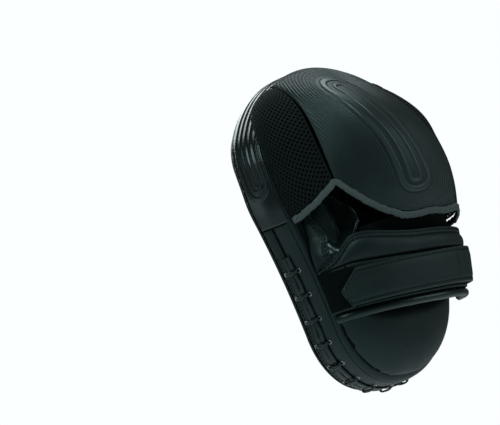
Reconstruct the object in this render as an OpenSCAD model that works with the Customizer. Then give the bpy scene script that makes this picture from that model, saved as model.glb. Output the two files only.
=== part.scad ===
// Curved focus mitt for the right hand: a laced, foam-filled strike pad with a
// finger hood, a thumb stall and a padded wrist cuff closed by a hook-and-loop strap.
// +Z points to the fingertips, +Y out of the strike face, the hand lies on the -Y side.

/* [Pad] */
// Length from the crown to the origin at the palm centre
crown_height = 126; // [122:1:130]
// Length from the tail to the origin at the palm centre
tail_height = 125; // [120:1:130]
// Thickness of the pad
pad_depth = 40; // [34:1:46]
// Radius of the hollow that the strike face follows along its length
bend_radius = 630; // [500:10:1200]
// Radius of the tail's outline
tail_radius = 66; // [63:0.5:68]
// Width of the padded ring round the target
ring_width = 30; // [26:1:34]

/* [Hood] */
// Height of the hood's lip over the middle of the hand
lip_height = 41; // [38:1:44]
// Extra height of the hood behind its lip
hood_bulge = 13; // [8:1:15]
// Thickness of the hood's panels
hood_wall = 1.5; // [1.2:0.1:2]

/* [Cuff] */
// Height of the arch over the wrist, inside
arch_height = 32; // [29:1:33]
// Level of the cuff's upper, double-stitched edge
cuff_top = -13; // [-17:1:-13]
// Level of the cuff's rolled rim
cuff_rim = -71; // [-73:1:-69]
// Width of the wrist strap
strap_width = 28; // [24:1:29]
// Thickness of the wrist strap
strap_wall = 2.4; // [2:0.1:3]

/* [Lacing] */
// Distance from one lace wrap to the next
lace_pitch = 20; // [18:1:24]
// Number of lace wraps round the tail
lace_count = 15; // [9:2:15]

/* [Hidden] */

gap = 0.3;                 // clearance between neighbouring layers
leather = 1.5;             // thickness of the leather skins
band_seam = 9.5;           // level where the edge band ends and the lacing begins
lace_top = -14;            // highest level of the lacing strip
board_wall = 2;
gel_wall = 4;
foam_top = pad_depth - leather - 2 * gap - 0.4;
board_top = 15;

// circles that shape the pad's right side: [x, z, radius]
shoulder_circle = [53, 58, 42];
waist_circle = [28, 37, 67];
tail_circle = [2, tail_radius - tail_height, tail_radius];

// the crown is a wider arc that runs smoothly into the shoulder's arc
shoulder_drop = crown_height - shoulder_circle[1];
crown_radius = (pow(shoulder_circle[0], 2) + pow(shoulder_drop, 2)
  - pow(shoulder_circle[2], 2)) / (2 * (shoulder_drop - shoulder_circle[2]));
crown_centre = crown_height - crown_radius;
crown_angle = atan2(shoulder_circle[1] - crown_centre, shoulder_circle[0]);

// ---------- outline of the pad ----------

// distance of the outline's tangent line from the origin, for a normal at angle a
function support(a) = a > crown_angle ? crown_centre * sin(a) + crown_radius
  : max([for (c = [shoulder_circle, waist_circle, tail_circle])
    c[0] * cos(a) + c[1] * sin(a) + c[2]]);

// half of the pad's width at level z, for an outline moved inwards by inset
function half_width(z, inset = 0) =
  min([for (a = [-88:2:88]) (support(a) - inset - z * sin(a)) / cos(a)]);

// level of the outline's point t, which runs from -90 at the tail to 90 at the crown
function level(t, inset = 0) =
  (crown_height - tail_height) / 2
  + ((crown_height + tail_height) / 2 - inset) * sin(t);

// whole outline as [x, z] points
function outline(inset = 0, step = 5) = concat(
  [for (t = [-90:step:90]) [half_width(level(t, inset), inset), level(t, inset)]],
  [for (t = [90:-step:-90]) [-half_width(level(t, inset), inset), level(t, inset)]]
);

// y of the bent surface that lies d inside the pad's back, negative d standing off it
function bent_y(z, d = 0) = bend_radius - sqrt(pow(bend_radius - d, 2) - z * z);
function on_back(x, z, d = 0) = [x, bent_y(z, d), z];

// slab of the pad between two depths under its back
module bent_slab(from, to) {
  translate([0, bend_radius, 0]) rotate([0, 90, 0]) difference() {
    cylinder(r = bend_radius - from, h = 260, center = true, $fn = 240);
    cylinder(r = bend_radius - to, h = 270, center = true, $fn = 240);
  }
}

// flat [x, z] shape carried through the pad between two depths
module bent_layer(from, to) {
  intersection() {
    rotate([90, 0, 0]) linear_extrude(240, center = true) children();
    bent_slab(from, to);
  }
}

// strip that follows the outline between two insets and two levels
module edge_strip(outer, inner, low, high) {
  intersection() {
    difference() {
      polygon(outline(outer));
      polygon(outline(inner));
    }
    translate([-150, low]) square([300, high - low]);
  }
}

// ---------- general surfaces ----------

function mix(a, b, t) = a * (1 - t) + b * t;
function unit(v) = v / norm(v);
function through(a, m, b, t) =
  a * (1 - t) * (1 - 2 * t) + m * 4 * t * (1 - t) + b * t * (2 * t - 1);
function bezier(a, k, b, t) = a * pow(1 - t, 2) + k * 2 * t * (1 - t) + b * t * t;

// normal of a grid of points at row i, column j
function grid_normal(g, i, j) =
  let (
    rows = len(g) - 1, columns = len(g[0]) - 1,
    along = g[min(i + 1, rows)][j] - g[max(i - 1, 0)][j],
    across = g[i][min(j + 1, columns)] - g[i][max(j - 1, 0)]
  ) unit(cross(along, across));

// closed wall between two grids of the same size
module wall_between(inner, outer) {
  rows = len(inner);
  columns = len(inner[0]);
  points = [for (g = [inner, outer]) for (row = g) each row];
  function at(i, j, side) = (side * rows + i) * columns + j;
  function quad(a, b, c, d) = [[a, b, c], [a, c, d]];
  skins = [for (i = [0:rows - 2]) for (j = [0:columns - 2]) each concat(
    quad(at(i, j, 0), at(i, j + 1, 0), at(i + 1, j + 1, 0), at(i + 1, j, 0)),
    quad(at(i, j, 1), at(i + 1, j, 1), at(i + 1, j + 1, 1), at(i, j + 1, 1)))];
  ends = [for (i = [0:rows - 2]) let (j = columns - 1) each concat(
    quad(at(i, 0, 0), at(i + 1, 0, 0), at(i + 1, 0, 1), at(i, 0, 1)),
    quad(at(i, j, 0), at(i, j, 1), at(i + 1, j, 1), at(i + 1, j, 0)))];
  sides = [for (j = [0:columns - 2]) let (i = rows - 1) each concat(
    quad(at(0, j, 0), at(0, j, 1), at(0, j + 1, 1), at(0, j + 1, 0)),
    quad(at(i, j, 0), at(i, j + 1, 0), at(i, j + 1, 1), at(i, j, 1)))];
  polyhedron(points, concat(skins, ends, sides));
}

// sheet between the offsets from and to, measured along the grid's normals
module sheet(g, from, to) {
  function moved(off) = [for (i = [0:len(g) - 1]) [for (j = [0:len(g[0]) - 1])
    g[i][j] + off * grid_normal(g, i, j)]];
  wall_between(moved(from), moved(to));
}

// round bar along a list of points
module bar(path, radius, sides = 8) {
  last = len(path) - 1;
  rings = [for (i = [0:last])
    let (
      ahead = unit(path[min(i + 1, last)] - path[max(i - 1, 0)]),
      u = unit(cross(ahead, [0.1, 0.3, 1])),
      v = cross(ahead, u)
    ) for (k = [0:sides - 1])
      path[i] + radius * (u * cos(360 * k / sides) + v * sin(360 * k / sides))];
  walls = [for (i = [0:last - 1]) for (k = [0:sides - 1])
    let (a = i * sides + k, b = i * sides + (k + 1) % sides) each [
      [a, b + sides, b], [a, a + sides, b + sides]]];
  caps = [[for (k = [0:sides - 1]) k], [for (k = [sides - 1:-1:0]) last * sides + k]];
  polyhedron(rings, concat(walls, caps));
}

// crowned cushion over a flat [x, z] outline; base and crown are heights off the back
module cushion(shape, base, crown, steps = 5) {
  n = len(shape);
  centre = [for (k = [0, 1]) [for (p = shape) p[k]] * [for (p = shape) 1] / n];
  rings = [for (i = [0:steps]) let (a = 90 * i / steps, s = mix(1, 0.12, 1 - cos(a)))
    for (p = shape) let (q = centre + (p - centre) * s)
      on_back(q[0], q[1], -base - (crown - base) * sin(a))];
  walls = [for (i = [0:steps - 1]) for (k = [0:n - 1])
    let (a = i * n + k, b = i * n + (k + 1) % n) each [
      [a, b + n, b], [a, a + n, b + n]]];
  middle = [on_back(centre[0], centre[1], -base)];
  fan = [for (k = [0:n - 1]) [k, (k + 1) % n, n * (steps + 1)]];
  cap = [[for (k = [n - 1:-1:0]) steps * n + k]];
  polyhedron(concat(rings, middle), concat(walls, fan, cap));
}

// ---------- layers of the pad ----------

module strike_target_panel() color([0.08, 0.10, 0.11])
  bent_layer(foam_top + gap, pad_depth) polygon(outline(ring_width + gap));

module strike_ring_panel() color([0.07, 0.09, 0.10])
  bent_layer(foam_top + gap, pad_depth) difference() {
    polygon(outline());
    polygon(outline(ring_width));
  }

module front_foam() color([0.20, 0.20, 0.21]) difference() {
  bent_layer(board_top + gap, foam_top) polygon(outline(leather + gap));
  bent_layer(board_top, board_top + gel_wall + 2 * gap)
    polygon(outline(ring_width - gap));
}

module gel_core() color([0.15, 0.30, 0.38])
  bent_layer(board_top + gap, board_top + gap + gel_wall) polygon(outline(ring_width));

module stiffener_board() color([0.16, 0.16, 0.16])
  bent_layer(board_top - board_wall, board_top) polygon(outline(6));

module rear_foam() color([0.22, 0.22, 0.23])
  bent_layer(leather + 2 * gap, board_top - board_wall - gap)
    polygon(outline(leather + gap));

module pad_back_panel() color([0.06, 0.07, 0.08])
  bent_layer(gap, leather + gap) polygon(outline(leather + gap));

module upper_edge_band() color([0.05, 0.07, 0.08])
  bent_layer(gap, foam_top) edge_strip(0, leather, band_seam + gap, 200);

module lower_front_gusset() color([0.07, 0.09, 0.10])
  bent_layer(pad_depth / 2, foam_top) edge_strip(0, leather, -200, band_seam - gap);

module lower_back_gusset() color([0.07, 0.09, 0.10])
  bent_layer(gap, pad_depth / 2 - gap) edge_strip(0, leather, -200, band_seam - gap);

// ---------- lacing ----------

lace_depth = pad_depth / 2 - 0.2;   // depth of the lacing's middle line
eyelet_spread = 7;                  // eyelets stand this far either side of it
tail_to_waist = [waist_circle[0] - tail_circle[0], waist_circle[1] - tail_circle[1]];
side_angle = atan2(tail_to_waist[1], tail_to_waist[0])
  - acos((tail_circle[2] - waist_circle[2]) / norm(tail_to_waist));
arc_length = tail_circle[2] * (90 + side_angle) * PI / 180;

// point of the outline at distance s from the tail's middle: [x, z, normal's angle]
function station(s) =
  let (
    side = s < 0 ? -1 : 1, r = tail_circle[2], flat_end = tail_circle[0],
    run = abs(s), turn = (run - flat_end) * 180 / PI / r,
    a = run < flat_end ? -90 : min(-90 + turn, side_angle),
    base = run < flat_end ? [run, -tail_height]
      : [tail_circle[0] + r * cos(a), tail_circle[1] + r * sin(a)],
    rest = max(0, run - flat_end - arc_length),
    p = base + rest * [-sin(side_angle), cos(side_angle)]
  ) [side * p[0], p[1], side > 0 ? a : 180 - a];

// carries a shape drawn with its base on the XY plane to the edge, at depth d
module on_edge(s, d, lift) {
  p = station(s);
  translate([p[0] + lift * cos(p[2]), bent_y(p[1], d), p[1] + lift * sin(p[2])])
    rotate([0, 90 - p[2], 0]) children();
}

lace_stations = [for (k = [0:lace_count - 1]) (k - (lace_count - 1) / 2) * lace_pitch];

module lace_strip() color([0.09, 0.11, 0.12])
  bent_layer(lace_depth - 2.5, lace_depth + 2.5) edge_strip(-1.1, -0.2, -200, lace_top);

module lace_wraps() color([0.09, 0.11, 0.12]) for (s = lace_stations)
  on_edge(s, lace_depth, 2.7) rotate([90, 0, 0])
    cylinder(r = 1.1, h = 2 * eyelet_spread - 1.4, center = true, $fn = 16);

module eyelets() color([0.45, 0.47, 0.48]) for (s = lace_stations, side = [-1, 1])
  on_edge(s, lace_depth + side * eyelet_spread, 0.35)
    rotate_extrude($fn = 24) translate([1.4, 0]) square([1.2, 0.8]);

// ---------- cushions on the hand side ----------

// outline of the tail cushion: the pad's own, closed by a straight upper edge
tail_top = -57;
tail_inset = 3.5;
tail_crown = 21;
function tail_outline(inset) =
  let (low = level(-90, inset), high = tail_top - inset, n = 14) concat(
    [for (k = [0:n]) let (z = mix(low, high, pow(k / n, 1.6)))
      [half_width(z, inset), z]],
    [for (k = [n:-1:0]) let (z = mix(low, high, pow(k / n, 1.6)))
      [-half_width(z, inset), z]]
  );

module tail_cover() color([0.07, 0.09, 0.10]) difference() {
  cushion(tail_outline(tail_inset), 0, tail_crown);
  cushion(tail_outline(tail_inset + leather), -0.5, tail_crown - leather);
}

module tail_foam() color([0.22, 0.22, 0.23])
  cushion(tail_outline(tail_inset + leather + 1), 0.2, tail_crown - leather - 1);

module palm_ball() color([0.07, 0.09, 0.10])
  cushion([for (a = [0:15:345]) [36 * cos(a), 14 * sin(a) - 4]], 0.2, 13);

// ---------- finger hood ----------

seam_half_width = 52;      // the ribbed panel's half width where it meets the rim
hood_inset = 2.5;          // how far inside the outline the hood is sewn
lift = 1.2;                // the hood's foot stands this far off the pad's back
left_foot = 11;            // levels where the hood leaves the rim
right_foot = -13;
rim_span = 145;            // scale of the even spacing along the rim
overhang = 11;             // how far a full wrap stands out, and how deep it reaches
wrap_reach = 25;
lip_trim = 4;              // lifts the lip's dip right of its middle

// how much the hood's left side wraps over the pad's edge, from the crown to the lip
function wrap(v) = 0.35 * (1 - pow(v, 3)) + 0.45 * exp(-pow((v - 0.17) / 0.25, 2));
function wrap_depth(share) = -lift + wrap_reach * max(0, share - 0.38);

function seam_top(inset) = crown_centre
  + sqrt(pow(crown_radius - inset, 2) - pow(seam_half_width, 2));
left_top = seam_top(hood_inset - overhang * wrap(0));
right_top = seam_top(hood_inset);

// lines that run from the rim (v = 0) to the lip (v = 1)
function left_seam(v) = on_back(
  through(-seam_half_width, -56, -57.5, v),
  mix(left_top, 32, v),
  (wrap_depth(wrap(0)) + lift) * pow(1 - v, 12)
    - lift - 26 * (1 - pow(1 - v, 4)) + 4 * sin(180 * v));
function right_seam(v) = on_back(
  through(seam_half_width, 69, 57, v),
  mix(right_top, -5, v),
  -lift - 39 * (1 - pow(1 - v, 2.5)) + 3 * sin(180 * v));
function ridge(v) = on_back(
  -10 * v,
  mix(crown_height + 2.5, -3, v),
  1.5 * pow(1 - v, 12) - lift - lip_height * (1 - pow(1 - v, 3))
    - hood_bulge * sin(180 * v));

// the ribbed panel, u from the left seam to the right
function hood_point(u, v) = through(left_seam(v), ridge(v), right_seam(v), u)
  + [0, 0, lip_trim * pow(v, 4) * max(0, sin(360 * (u - 0.5)))];

// the mesh sides, u from the rim to the seam
function side_point(u, v, side) =
  let (
    foot_z = side < 0 ? left_foot : right_foot,
    top = side < 0 ? left_top : right_top,
    share = side < 0 ? wrap(v) : 0,
    z = foot_z + rim_span * sin(asin((top - foot_z) / rim_span) * (1 - v)),
    foot = on_back(side * half_width(z, hood_inset - overhang * share), z,
      wrap_depth(share)),
    seam = side < 0 ? left_seam(v) : right_seam(v),
    swell = sin(360 * min(v, 0.5)),
    bulge = side < 0 ? 3 * sin(180 * min(v, 0.5)) : 5 * swell,
    rise = side < 0 ? 0.75 : 0.5 + 0.1 * swell,
    knee = foot + [side * bulge, -(foot[1] - seam[1]) * rise, 0]
  ) bezier(foot, knee, seam, u);

hood_steps = 12;
function hood_grid(u0, u1, v0, v1) =
  [for (j = [0:hood_steps]) [for (i = [0:hood_steps])
    hood_point(mix(u0, u1, i / hood_steps), mix(v0, v1, j / hood_steps))]];
function side_grid(side) =
  [for (j = [0:hood_steps]) [for (i = [0:8])
    side_point(mix(0, 0.985, i / 8), mix(0.04, 1, j / hood_steps), side)]];

module hood_centre_panel() color([0.10, 0.13, 0.13])
  sheet(hood_grid(0.01, 0.99, 0.01, 0.985), 0, -hood_wall);

module hood_liner() color([0.05, 0.05, 0.05])
  sheet(hood_grid(0.06, 0.94, 0.12, 0.97), -hood_wall - gap, -hood_wall - gap - 3);

module hood_mesh_left() color([0.04, 0.05, 0.05])
  sheet(side_grid(-1), 0, -hood_wall);

module hood_mesh_right() color([0.04, 0.05, 0.05])
  sheet(side_grid(1), hood_wall, 0);

module hood_binding() color([0.33, 0.37, 0.38]) {
  lip = concat(
    [for (i = [0:7]) [side_point(i / 8, 1, -1), side_point(i / 8, 0.97, -1)]],
    [for (i = [0:16]) [hood_point(i / 16, 1), hood_point(i / 16, 0.97)]],
    [for (i = [7:-1:0]) [side_point(i / 8, 1, 1), side_point(i / 8, 0.97, 1)]]);
  bar([for (p = lip) p[0] + 2.6 * unit(p[0] - p[1])], 2.1);
}

// ---------- wrist and hand side ----------

foot_inset = 4;

// point of the arch over the wrist: a runs from 180 at the thumb side to 0
function arch_base(a, z) =
  let (c = cos(a), s = sin(a), w = mix(half_width(z, foot_inset), 74, 0.5))
  [w * sign(c) * pow(abs(c), 0.85), bent_y(z, -lift) - arch_height * pow(s, 0.8), z];
function arch(a, z, off) =
  let (
    p = arch_base(a, z),
    t = unit(arch_base(min(a + 1, 179.5), z) - arch_base(max(a - 1, 0.5), z)),
    n = [-t[1], t[0], 0]
  ) p + off * n;

// patch of the arch between the angles first and last; low and high give its levels
// as [at first, at last], and inner and outer are offsets from the arch
module arch_patch(first, last, low, high, inner, outer) {
  n = ceil(abs(first - last) / 7);
  function grid(off) = [for (j = [0:patch_rows]) [for (i = [0:n]) let (t = i / n)
    arch(mix(first, last, t),
      mix(mix(low[0], low[1], t), mix(high[0], high[1], t), j / patch_rows), off)]];
  wall_between(grid(inner), grid(outer));
}
patch_rows = 3;

// offsets of the cuff's layers from the arch: [inner, outer]
lining_layer = [0, 1];
foam_layer = [1.3, 4.3];
shell_layer = [4.6, 6];
loop_layer = [6.3, 7.3];
hook_layer = [7.6, 8.4];
strap_layer = [8.7, 8.7 + strap_wall];

left_end = 150.5;          // angles where the side gussets end and the cuff begins
right_end = 29.5;
shell_low = cuff_rim + 3.7;
seam_left = -36;           // levels of the seam between the cuff's two panels
seam_right = -39;
cuff_right_top = cuff_top - 8;

// point of the thumb stall, a short tunnel that narrows towards the thumb's tip
function stall(a, z, off) = let (half = 14 - 4 * pow(max(0, z) / 30, 2))
  on_back(-62 + (half + off) * cos(a), z, -lift - (half + off) * sin(a));
function stall_grid(off) =
  [for (z = [-14:4.4:30]) [for (a = [180:-15:0]) stall(a, z, off)]];

module thumb_stall() color([0.09, 0.11, 0.12])
  wall_between(stall_grid(-1.4), stall_grid(0));

module hand_back_mesh() color([0.04, 0.05, 0.05])
  arch_patch(124, 12, [-15.5, -24], [-8, 8], -3.4, -2.4);

module side_gusset_left() color([0.07, 0.09, 0.10])
  arch_patch(177, left_end + 0.5, [shell_low, shell_low], [-2.5, -2.5],
    shell_layer[0], shell_layer[1]);

module side_gusset_right() color([0.07, 0.09, 0.10])
  arch_patch(right_end - 0.5, 3, [shell_low, shell_low], [cuff_right_top, -27],
    shell_layer[0], shell_layer[1]);

module cuff_lining() color([0.05, 0.05, 0.06])
  arch_patch(176, 4, [shell_low, shell_low], [cuff_top - 4, cuff_right_top - 1],
    lining_layer[0], lining_layer[1]);

module cuff_foam() color([0.22, 0.22, 0.23])
  arch_patch(165, 15, [shell_low, shell_low], [cuff_top - 2, cuff_right_top - 2],
    foam_layer[0], foam_layer[1]);

module cuff_upper_panel() color([0.08, 0.10, 0.11])
  arch_patch(left_end, right_end, [seam_left, seam_right] + [gap, gap],
    [cuff_top, cuff_right_top], shell_layer[0], shell_layer[1]);

module cuff_lower_panel() color([0.08, 0.10, 0.11])
  arch_patch(left_end, right_end, [shell_low, shell_low], [seam_left, seam_right],
    shell_layer[0], shell_layer[1]);

module cuff_rim_roll() color([0.09, 0.11, 0.12])
  bar([for (a = [174:-6:6]) arch(a, cuff_rim, 3.4)], 3.2);

module cuff_loop_patch() color([0.03, 0.03, 0.03])
  arch_patch(175, 66, [-65, -64], [-36, -39], loop_layer[0], loop_layer[1]);

// ---------- wrist strap ----------

fold_angle = 25.5;         // where the strap folds over the right side of the cuff
flex_angle = 100;          // where the strap's tip bends away from the rest
tip_angle = 161;
joint_gap = 0.6;           // half the gap at the fold and at the flex, in degrees
function strap_middle(a) = mix(-50.5, -52, (a - fold_angle) / (tip_angle - fold_angle));

// piece of the strap between two angles, narrowed by margin along both edges
module strap_piece(first, last, layer, margin = 0) {
  w = strap_width / 2 - margin;
  arch_patch(first, last, [strap_middle(first) - w, strap_middle(last) - w],
    [strap_middle(first) + w, strap_middle(last) + w], layer[0], layer[1]);
}

module strap_anchor() color([0.07, 0.09, 0.10])
  strap_piece(fold_angle - joint_gap, 6, strap_layer);

module strap_elastic() color([0.03, 0.03, 0.04])
  strap_piece(21, 8, [loop_layer[0], hook_layer[1]], 3);

module strap_run() color([0.08, 0.10, 0.11])
  strap_piece(flex_angle - joint_gap, fold_angle + joint_gap, strap_layer);

module strap_run_hook() color([0.03, 0.03, 0.03])
  strap_piece(flex_angle - 3, 68, hook_layer, 2.5);

// the tip is cut to a point that lies below its middle
cut_high = 144;
cut_low = 155;
tip_level = strap_middle(tip_angle) - 1.5;
function tip_edge(a, side) = let (cut = side > 0 ? cut_high : cut_low)
  a < cut ? strap_middle(a) + side * strap_width / 2
    : mix(strap_middle(cut) + side * strap_width / 2, tip_level + side,
      (a - cut) / (tip_angle - cut));
tip_angles = concat([tip_angle, 158, cut_low, 149.5, cut_high],
  [for (k = [1:6]) mix(cut_high, flex_angle + joint_gap, k / 6)]);
function tip_grid(off) = [for (j = [0:patch_rows]) [for (a = tip_angles)
  arch(a, mix(tip_edge(a, -1), tip_edge(a, 1), j / patch_rows), off)]];

module strap_tip() color([0.08, 0.10, 0.11])
  wall_between(tip_grid(strap_layer[0]), tip_grid(strap_layer[1]));

module strap_tip_hook() color([0.03, 0.03, 0.03])
  strap_piece(146, flex_angle + 4, hook_layer, 4);

strike_target_panel();
strike_ring_panel();
front_foam();
gel_core();
stiffener_board();
rear_foam();
pad_back_panel();
upper_edge_band();
lower_front_gusset();
lower_back_gusset();
lace_strip();
lace_wraps();
eyelets();
tail_cover();
tail_foam();
palm_ball();
hood_centre_panel();
hood_liner();
hood_mesh_left();
hood_mesh_right();
hood_binding();
thumb_stall();
hand_back_mesh();
side_gusset_left();
side_gusset_right();
cuff_lining();
cuff_foam();
cuff_upper_panel();
cuff_lower_panel();
cuff_rim_roll();
cuff_loop_patch();
strap_anchor();
strap_elastic();
strap_run();
strap_run_hook();
strap_tip();
strap_tip_hook();
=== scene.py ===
import math

import bmesh
import bpy
import numpy as np
from mathutils import Matrix, Vector, noise


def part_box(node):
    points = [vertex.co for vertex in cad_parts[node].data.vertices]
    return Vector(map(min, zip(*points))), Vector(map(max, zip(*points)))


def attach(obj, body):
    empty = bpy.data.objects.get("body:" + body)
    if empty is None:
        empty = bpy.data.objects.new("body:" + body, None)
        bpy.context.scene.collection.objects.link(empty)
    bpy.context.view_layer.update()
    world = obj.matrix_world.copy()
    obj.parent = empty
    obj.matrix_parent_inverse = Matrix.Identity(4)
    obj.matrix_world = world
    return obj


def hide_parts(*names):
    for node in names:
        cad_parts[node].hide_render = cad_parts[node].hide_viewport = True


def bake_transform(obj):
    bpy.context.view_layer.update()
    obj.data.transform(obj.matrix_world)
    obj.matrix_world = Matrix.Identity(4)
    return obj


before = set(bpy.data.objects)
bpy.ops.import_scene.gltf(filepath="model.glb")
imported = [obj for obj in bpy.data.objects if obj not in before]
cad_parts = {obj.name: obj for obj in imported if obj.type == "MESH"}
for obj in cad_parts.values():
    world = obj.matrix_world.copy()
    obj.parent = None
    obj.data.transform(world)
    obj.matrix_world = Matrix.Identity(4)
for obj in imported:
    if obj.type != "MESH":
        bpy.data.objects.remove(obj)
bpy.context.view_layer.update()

# Lengths are in millimetres up to new_piece(), which turns them into metres.
MM = 0.001

# ---------- the frame's driving dimensions ----------

PANEL_LOW, PANEL_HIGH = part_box("strike_ring_panel")
CROWN = PANEL_HIGH.z / MM            # crown and tail, measured from the palm centre
TAIL = -PANEL_LOW.z / MM
PAD_DEPTH = 40.0
BEND = 630.0                         # radius of the hollow along the pad
BAND_SEAM = 9.5                      # level where the glossy band ends
TAIL_RADIUS = 66.0
SHOULDER = (53.0, 58.0, 42.0)        # x, z and radius
WAIST = (28.0, 37.0, 67.0)
TAIL_ARC = (2.0, TAIL_RADIUS - TAIL, TAIL_RADIUS)

LIP_HEIGHT = 41.0
HOOD_BULGE = 13.0
HOOD_WALL = 1.5
ARCH_HEIGHT = 32.0
CUFF_RIGHT_TOP = -21.0
CUFF_RIM = -71.0
STRAP_WIDTH = 28.0
STRAP_WALL = 2.4
LACE_PITCH = 20.0
LACE_COUNT = 15

SHOULDER_DROP = CROWN - SHOULDER[1]
CROWN_RADIUS = (SHOULDER[0] ** 2 + SHOULDER_DROP ** 2 - SHOULDER[2] ** 2) / (
    2 * (SHOULDER_DROP - SHOULDER[2]))
CROWN_CENTRE = CROWN - CROWN_RADIUS
CROWN_ARC = (0.0, CROWN_CENTRE, CROWN_RADIUS)
CROWN_ANGLE = math.atan2(SHOULDER[1] - CROWN_CENTRE, SHOULDER[0])


# ---------- shape functions, which follow the frame's ----------

def mix(a, b, t):
    return a * (1 - t) + b * t


def unit(v):
    return v / np.maximum(np.linalg.norm(v, axis=-1, keepdims=True), 1e-9)


def column(t):
    return np.asarray(t, float)[..., None]


def through(a, m, b, t):
    """Quadratic through a, m and b at t = 0, 1/2 and 1."""
    return a * (1 - t) * (1 - 2 * t) + m * 4 * t * (1 - t) + b * t * (2 * t - 1)


def bezier(a, k, b, t):
    return a * (1 - t) ** 2 + k * 2 * t * (1 - t) + b * t ** 2


def bent_y(z, d=0.0):
    """Place along y of a point d inside the pad's back at level z."""
    return BEND - np.sqrt((BEND - d) ** 2 - z * z)


def on_back(x, z, d=0.0):
    """Point d inside the pad's back; negative d stands off towards the hand."""
    x, z, d = np.broadcast_arrays(*[np.asarray(v, float) for v in (x, z, d)])
    return np.stack([x, bent_y(z, d), z], -1)


def rim_table():
    """Right half of the outline from the tail's middle: x, z, normal's angle and run."""
    rows = [(0.0, -TAIL, -math.pi / 2)]
    for a in np.radians(np.arange(-90, 90.25, 0.5)):
        c, s = math.cos(a), math.sin(a)
        arc = CROWN_ARC if a > CROWN_ANGLE else max(
            (TAIL_ARC, WAIST, SHOULDER), key=lambda k: k[0] * c + k[1] * s + k[2])
        rows.append((arc[0] + arc[2] * c, arc[1] + arc[2] * s, a))
    x, z, a = np.array(rows).T
    run = np.concatenate([[0], np.cumsum(np.hypot(np.diff(x), np.diff(z)))])
    return x, z, a, run


RIM_X, RIM_Z, RIM_A, RIM_RUN = rim_table()
HALF_RIM = RIM_RUN[-1]


def rim(s):
    """Outline at run s from the tail's middle, right side first: x, z, normal x, normal z."""
    s = (np.asarray(s, float) + HALF_RIM) % (2 * HALF_RIM) - HALF_RIM
    side = np.where(s < 0, -1.0, 1.0)
    x, z, a = [np.interp(np.abs(s), RIM_RUN, k) for k in (RIM_X, RIM_Z, RIM_A)]
    return side * x, z, side * np.cos(a), np.sin(a)


def rim_run(z):
    """Run at which the outline's right side passes level z."""
    return np.interp(z, RIM_Z, RIM_RUN)


def half_width(z, inset=0.0):
    """Half of the pad's width at level z, for an outline moved inwards by inset."""
    a = RIM_A[1:-1]
    reach = RIM_X[1:-1] * np.cos(a) + RIM_Z[1:-1] * np.sin(a)
    keep = np.abs(np.cos(a)) > 0.03
    a, reach = a[keep], reach[keep]
    return np.min((reach - column(inset) - column(z) * np.sin(a)) / np.cos(a), axis=-1)


def at_rim(s, inset, depth):
    """Point at run s, a distance inside the outline and a depth inside the back."""
    x, z, nx, nz = rim(s)
    return on_back(x - inset * nx, z - inset * nz, depth)


def outwards(s):
    """Direction away from the pad's side at run s."""
    nx, nz = rim(s)[2:]
    return np.stack([nx, 0 * nx, nz], -1)


# hood

SEAM_HALF = 52.0                     # the ribbed panel's half width where it meets the rim
HOOD_INSET = 2.5
LIFT = 1.2
LEFT_FOOT = 11.0
RIGHT_FOOT = -13.0
RIM_SPAN = 145.0
LIP_TRIM = 4.0                       # lifts the lip's dip right of its middle
OVERHANG = 11.0                      # how far the full wrap stands out past the hood's foot
WRAP_DEPTH = 25.0


def wrap(v):
    """How much the hood's left side wraps over the pad's edge, from the crown to the lip."""
    return 0.35 * (1 - v ** 3) + 0.45 * np.exp(-((v - 0.17) / 0.25) ** 2)


def wrap_depth(share):
    """Depth inside the pad's back that the hood's foot reaches when it wraps by a share."""
    return -LIFT + WRAP_DEPTH * np.maximum(0, share - 0.38)


def seam_top(inset):
    """Level where a seam meets the crown's outline moved inwards by inset."""
    return CROWN_CENTRE + math.sqrt((CROWN_RADIUS - inset) ** 2 - SEAM_HALF ** 2)


LEFT_TOP = seam_top(HOOD_INSET - OVERHANG * wrap(0.0))
RIGHT_TOP = seam_top(HOOD_INSET)


def left_seam(v):
    """Seam between the left mesh and the ribbed panel, from the rim to the lip."""
    tuck = (wrap_depth(wrap(0.0)) + LIFT) * (1 - v) ** 12
    return on_back(through(-SEAM_HALF, -56, -57.5, v), mix(LEFT_TOP, 32, v),
                   tuck - LIFT - 26 * (1 - (1 - v) ** 4) + 4 * np.sin(np.pi * v))


def right_seam(v):
    """Seam between the ribbed panel and the right mesh, from the rim to the lip."""
    return on_back(through(SEAM_HALF, 69, 57, v), mix(RIGHT_TOP, -5, v),
                   -LIFT - 39 * (1 - (1 - v) ** 2.5) + 3 * np.sin(np.pi * v))


def ridge(v):
    """Middle line of the ribbed panel, from the rim to the lip."""
    return on_back(-10 * v, mix(CROWN + 2.5, -4.5, v),
                   1.5 * (1 - v) ** 12 - LIFT - LIP_HEIGHT * (1 - (1 - v) ** 3)
                   - HOOD_BULGE * np.sin(np.pi * v))


def hood_point(u, v):
    """Ribbed panel: u from the left seam to the right, v from the rim to the lip."""
    u, v = np.broadcast_arrays(u, v)
    p = through(left_seam(v), ridge(v), right_seam(v), column(u))
    p[..., 2] += LIP_TRIM * v ** 4 * np.clip(np.sin(2 * np.pi * (u - 0.5)), 0, 1) ** 2
    return p


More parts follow.
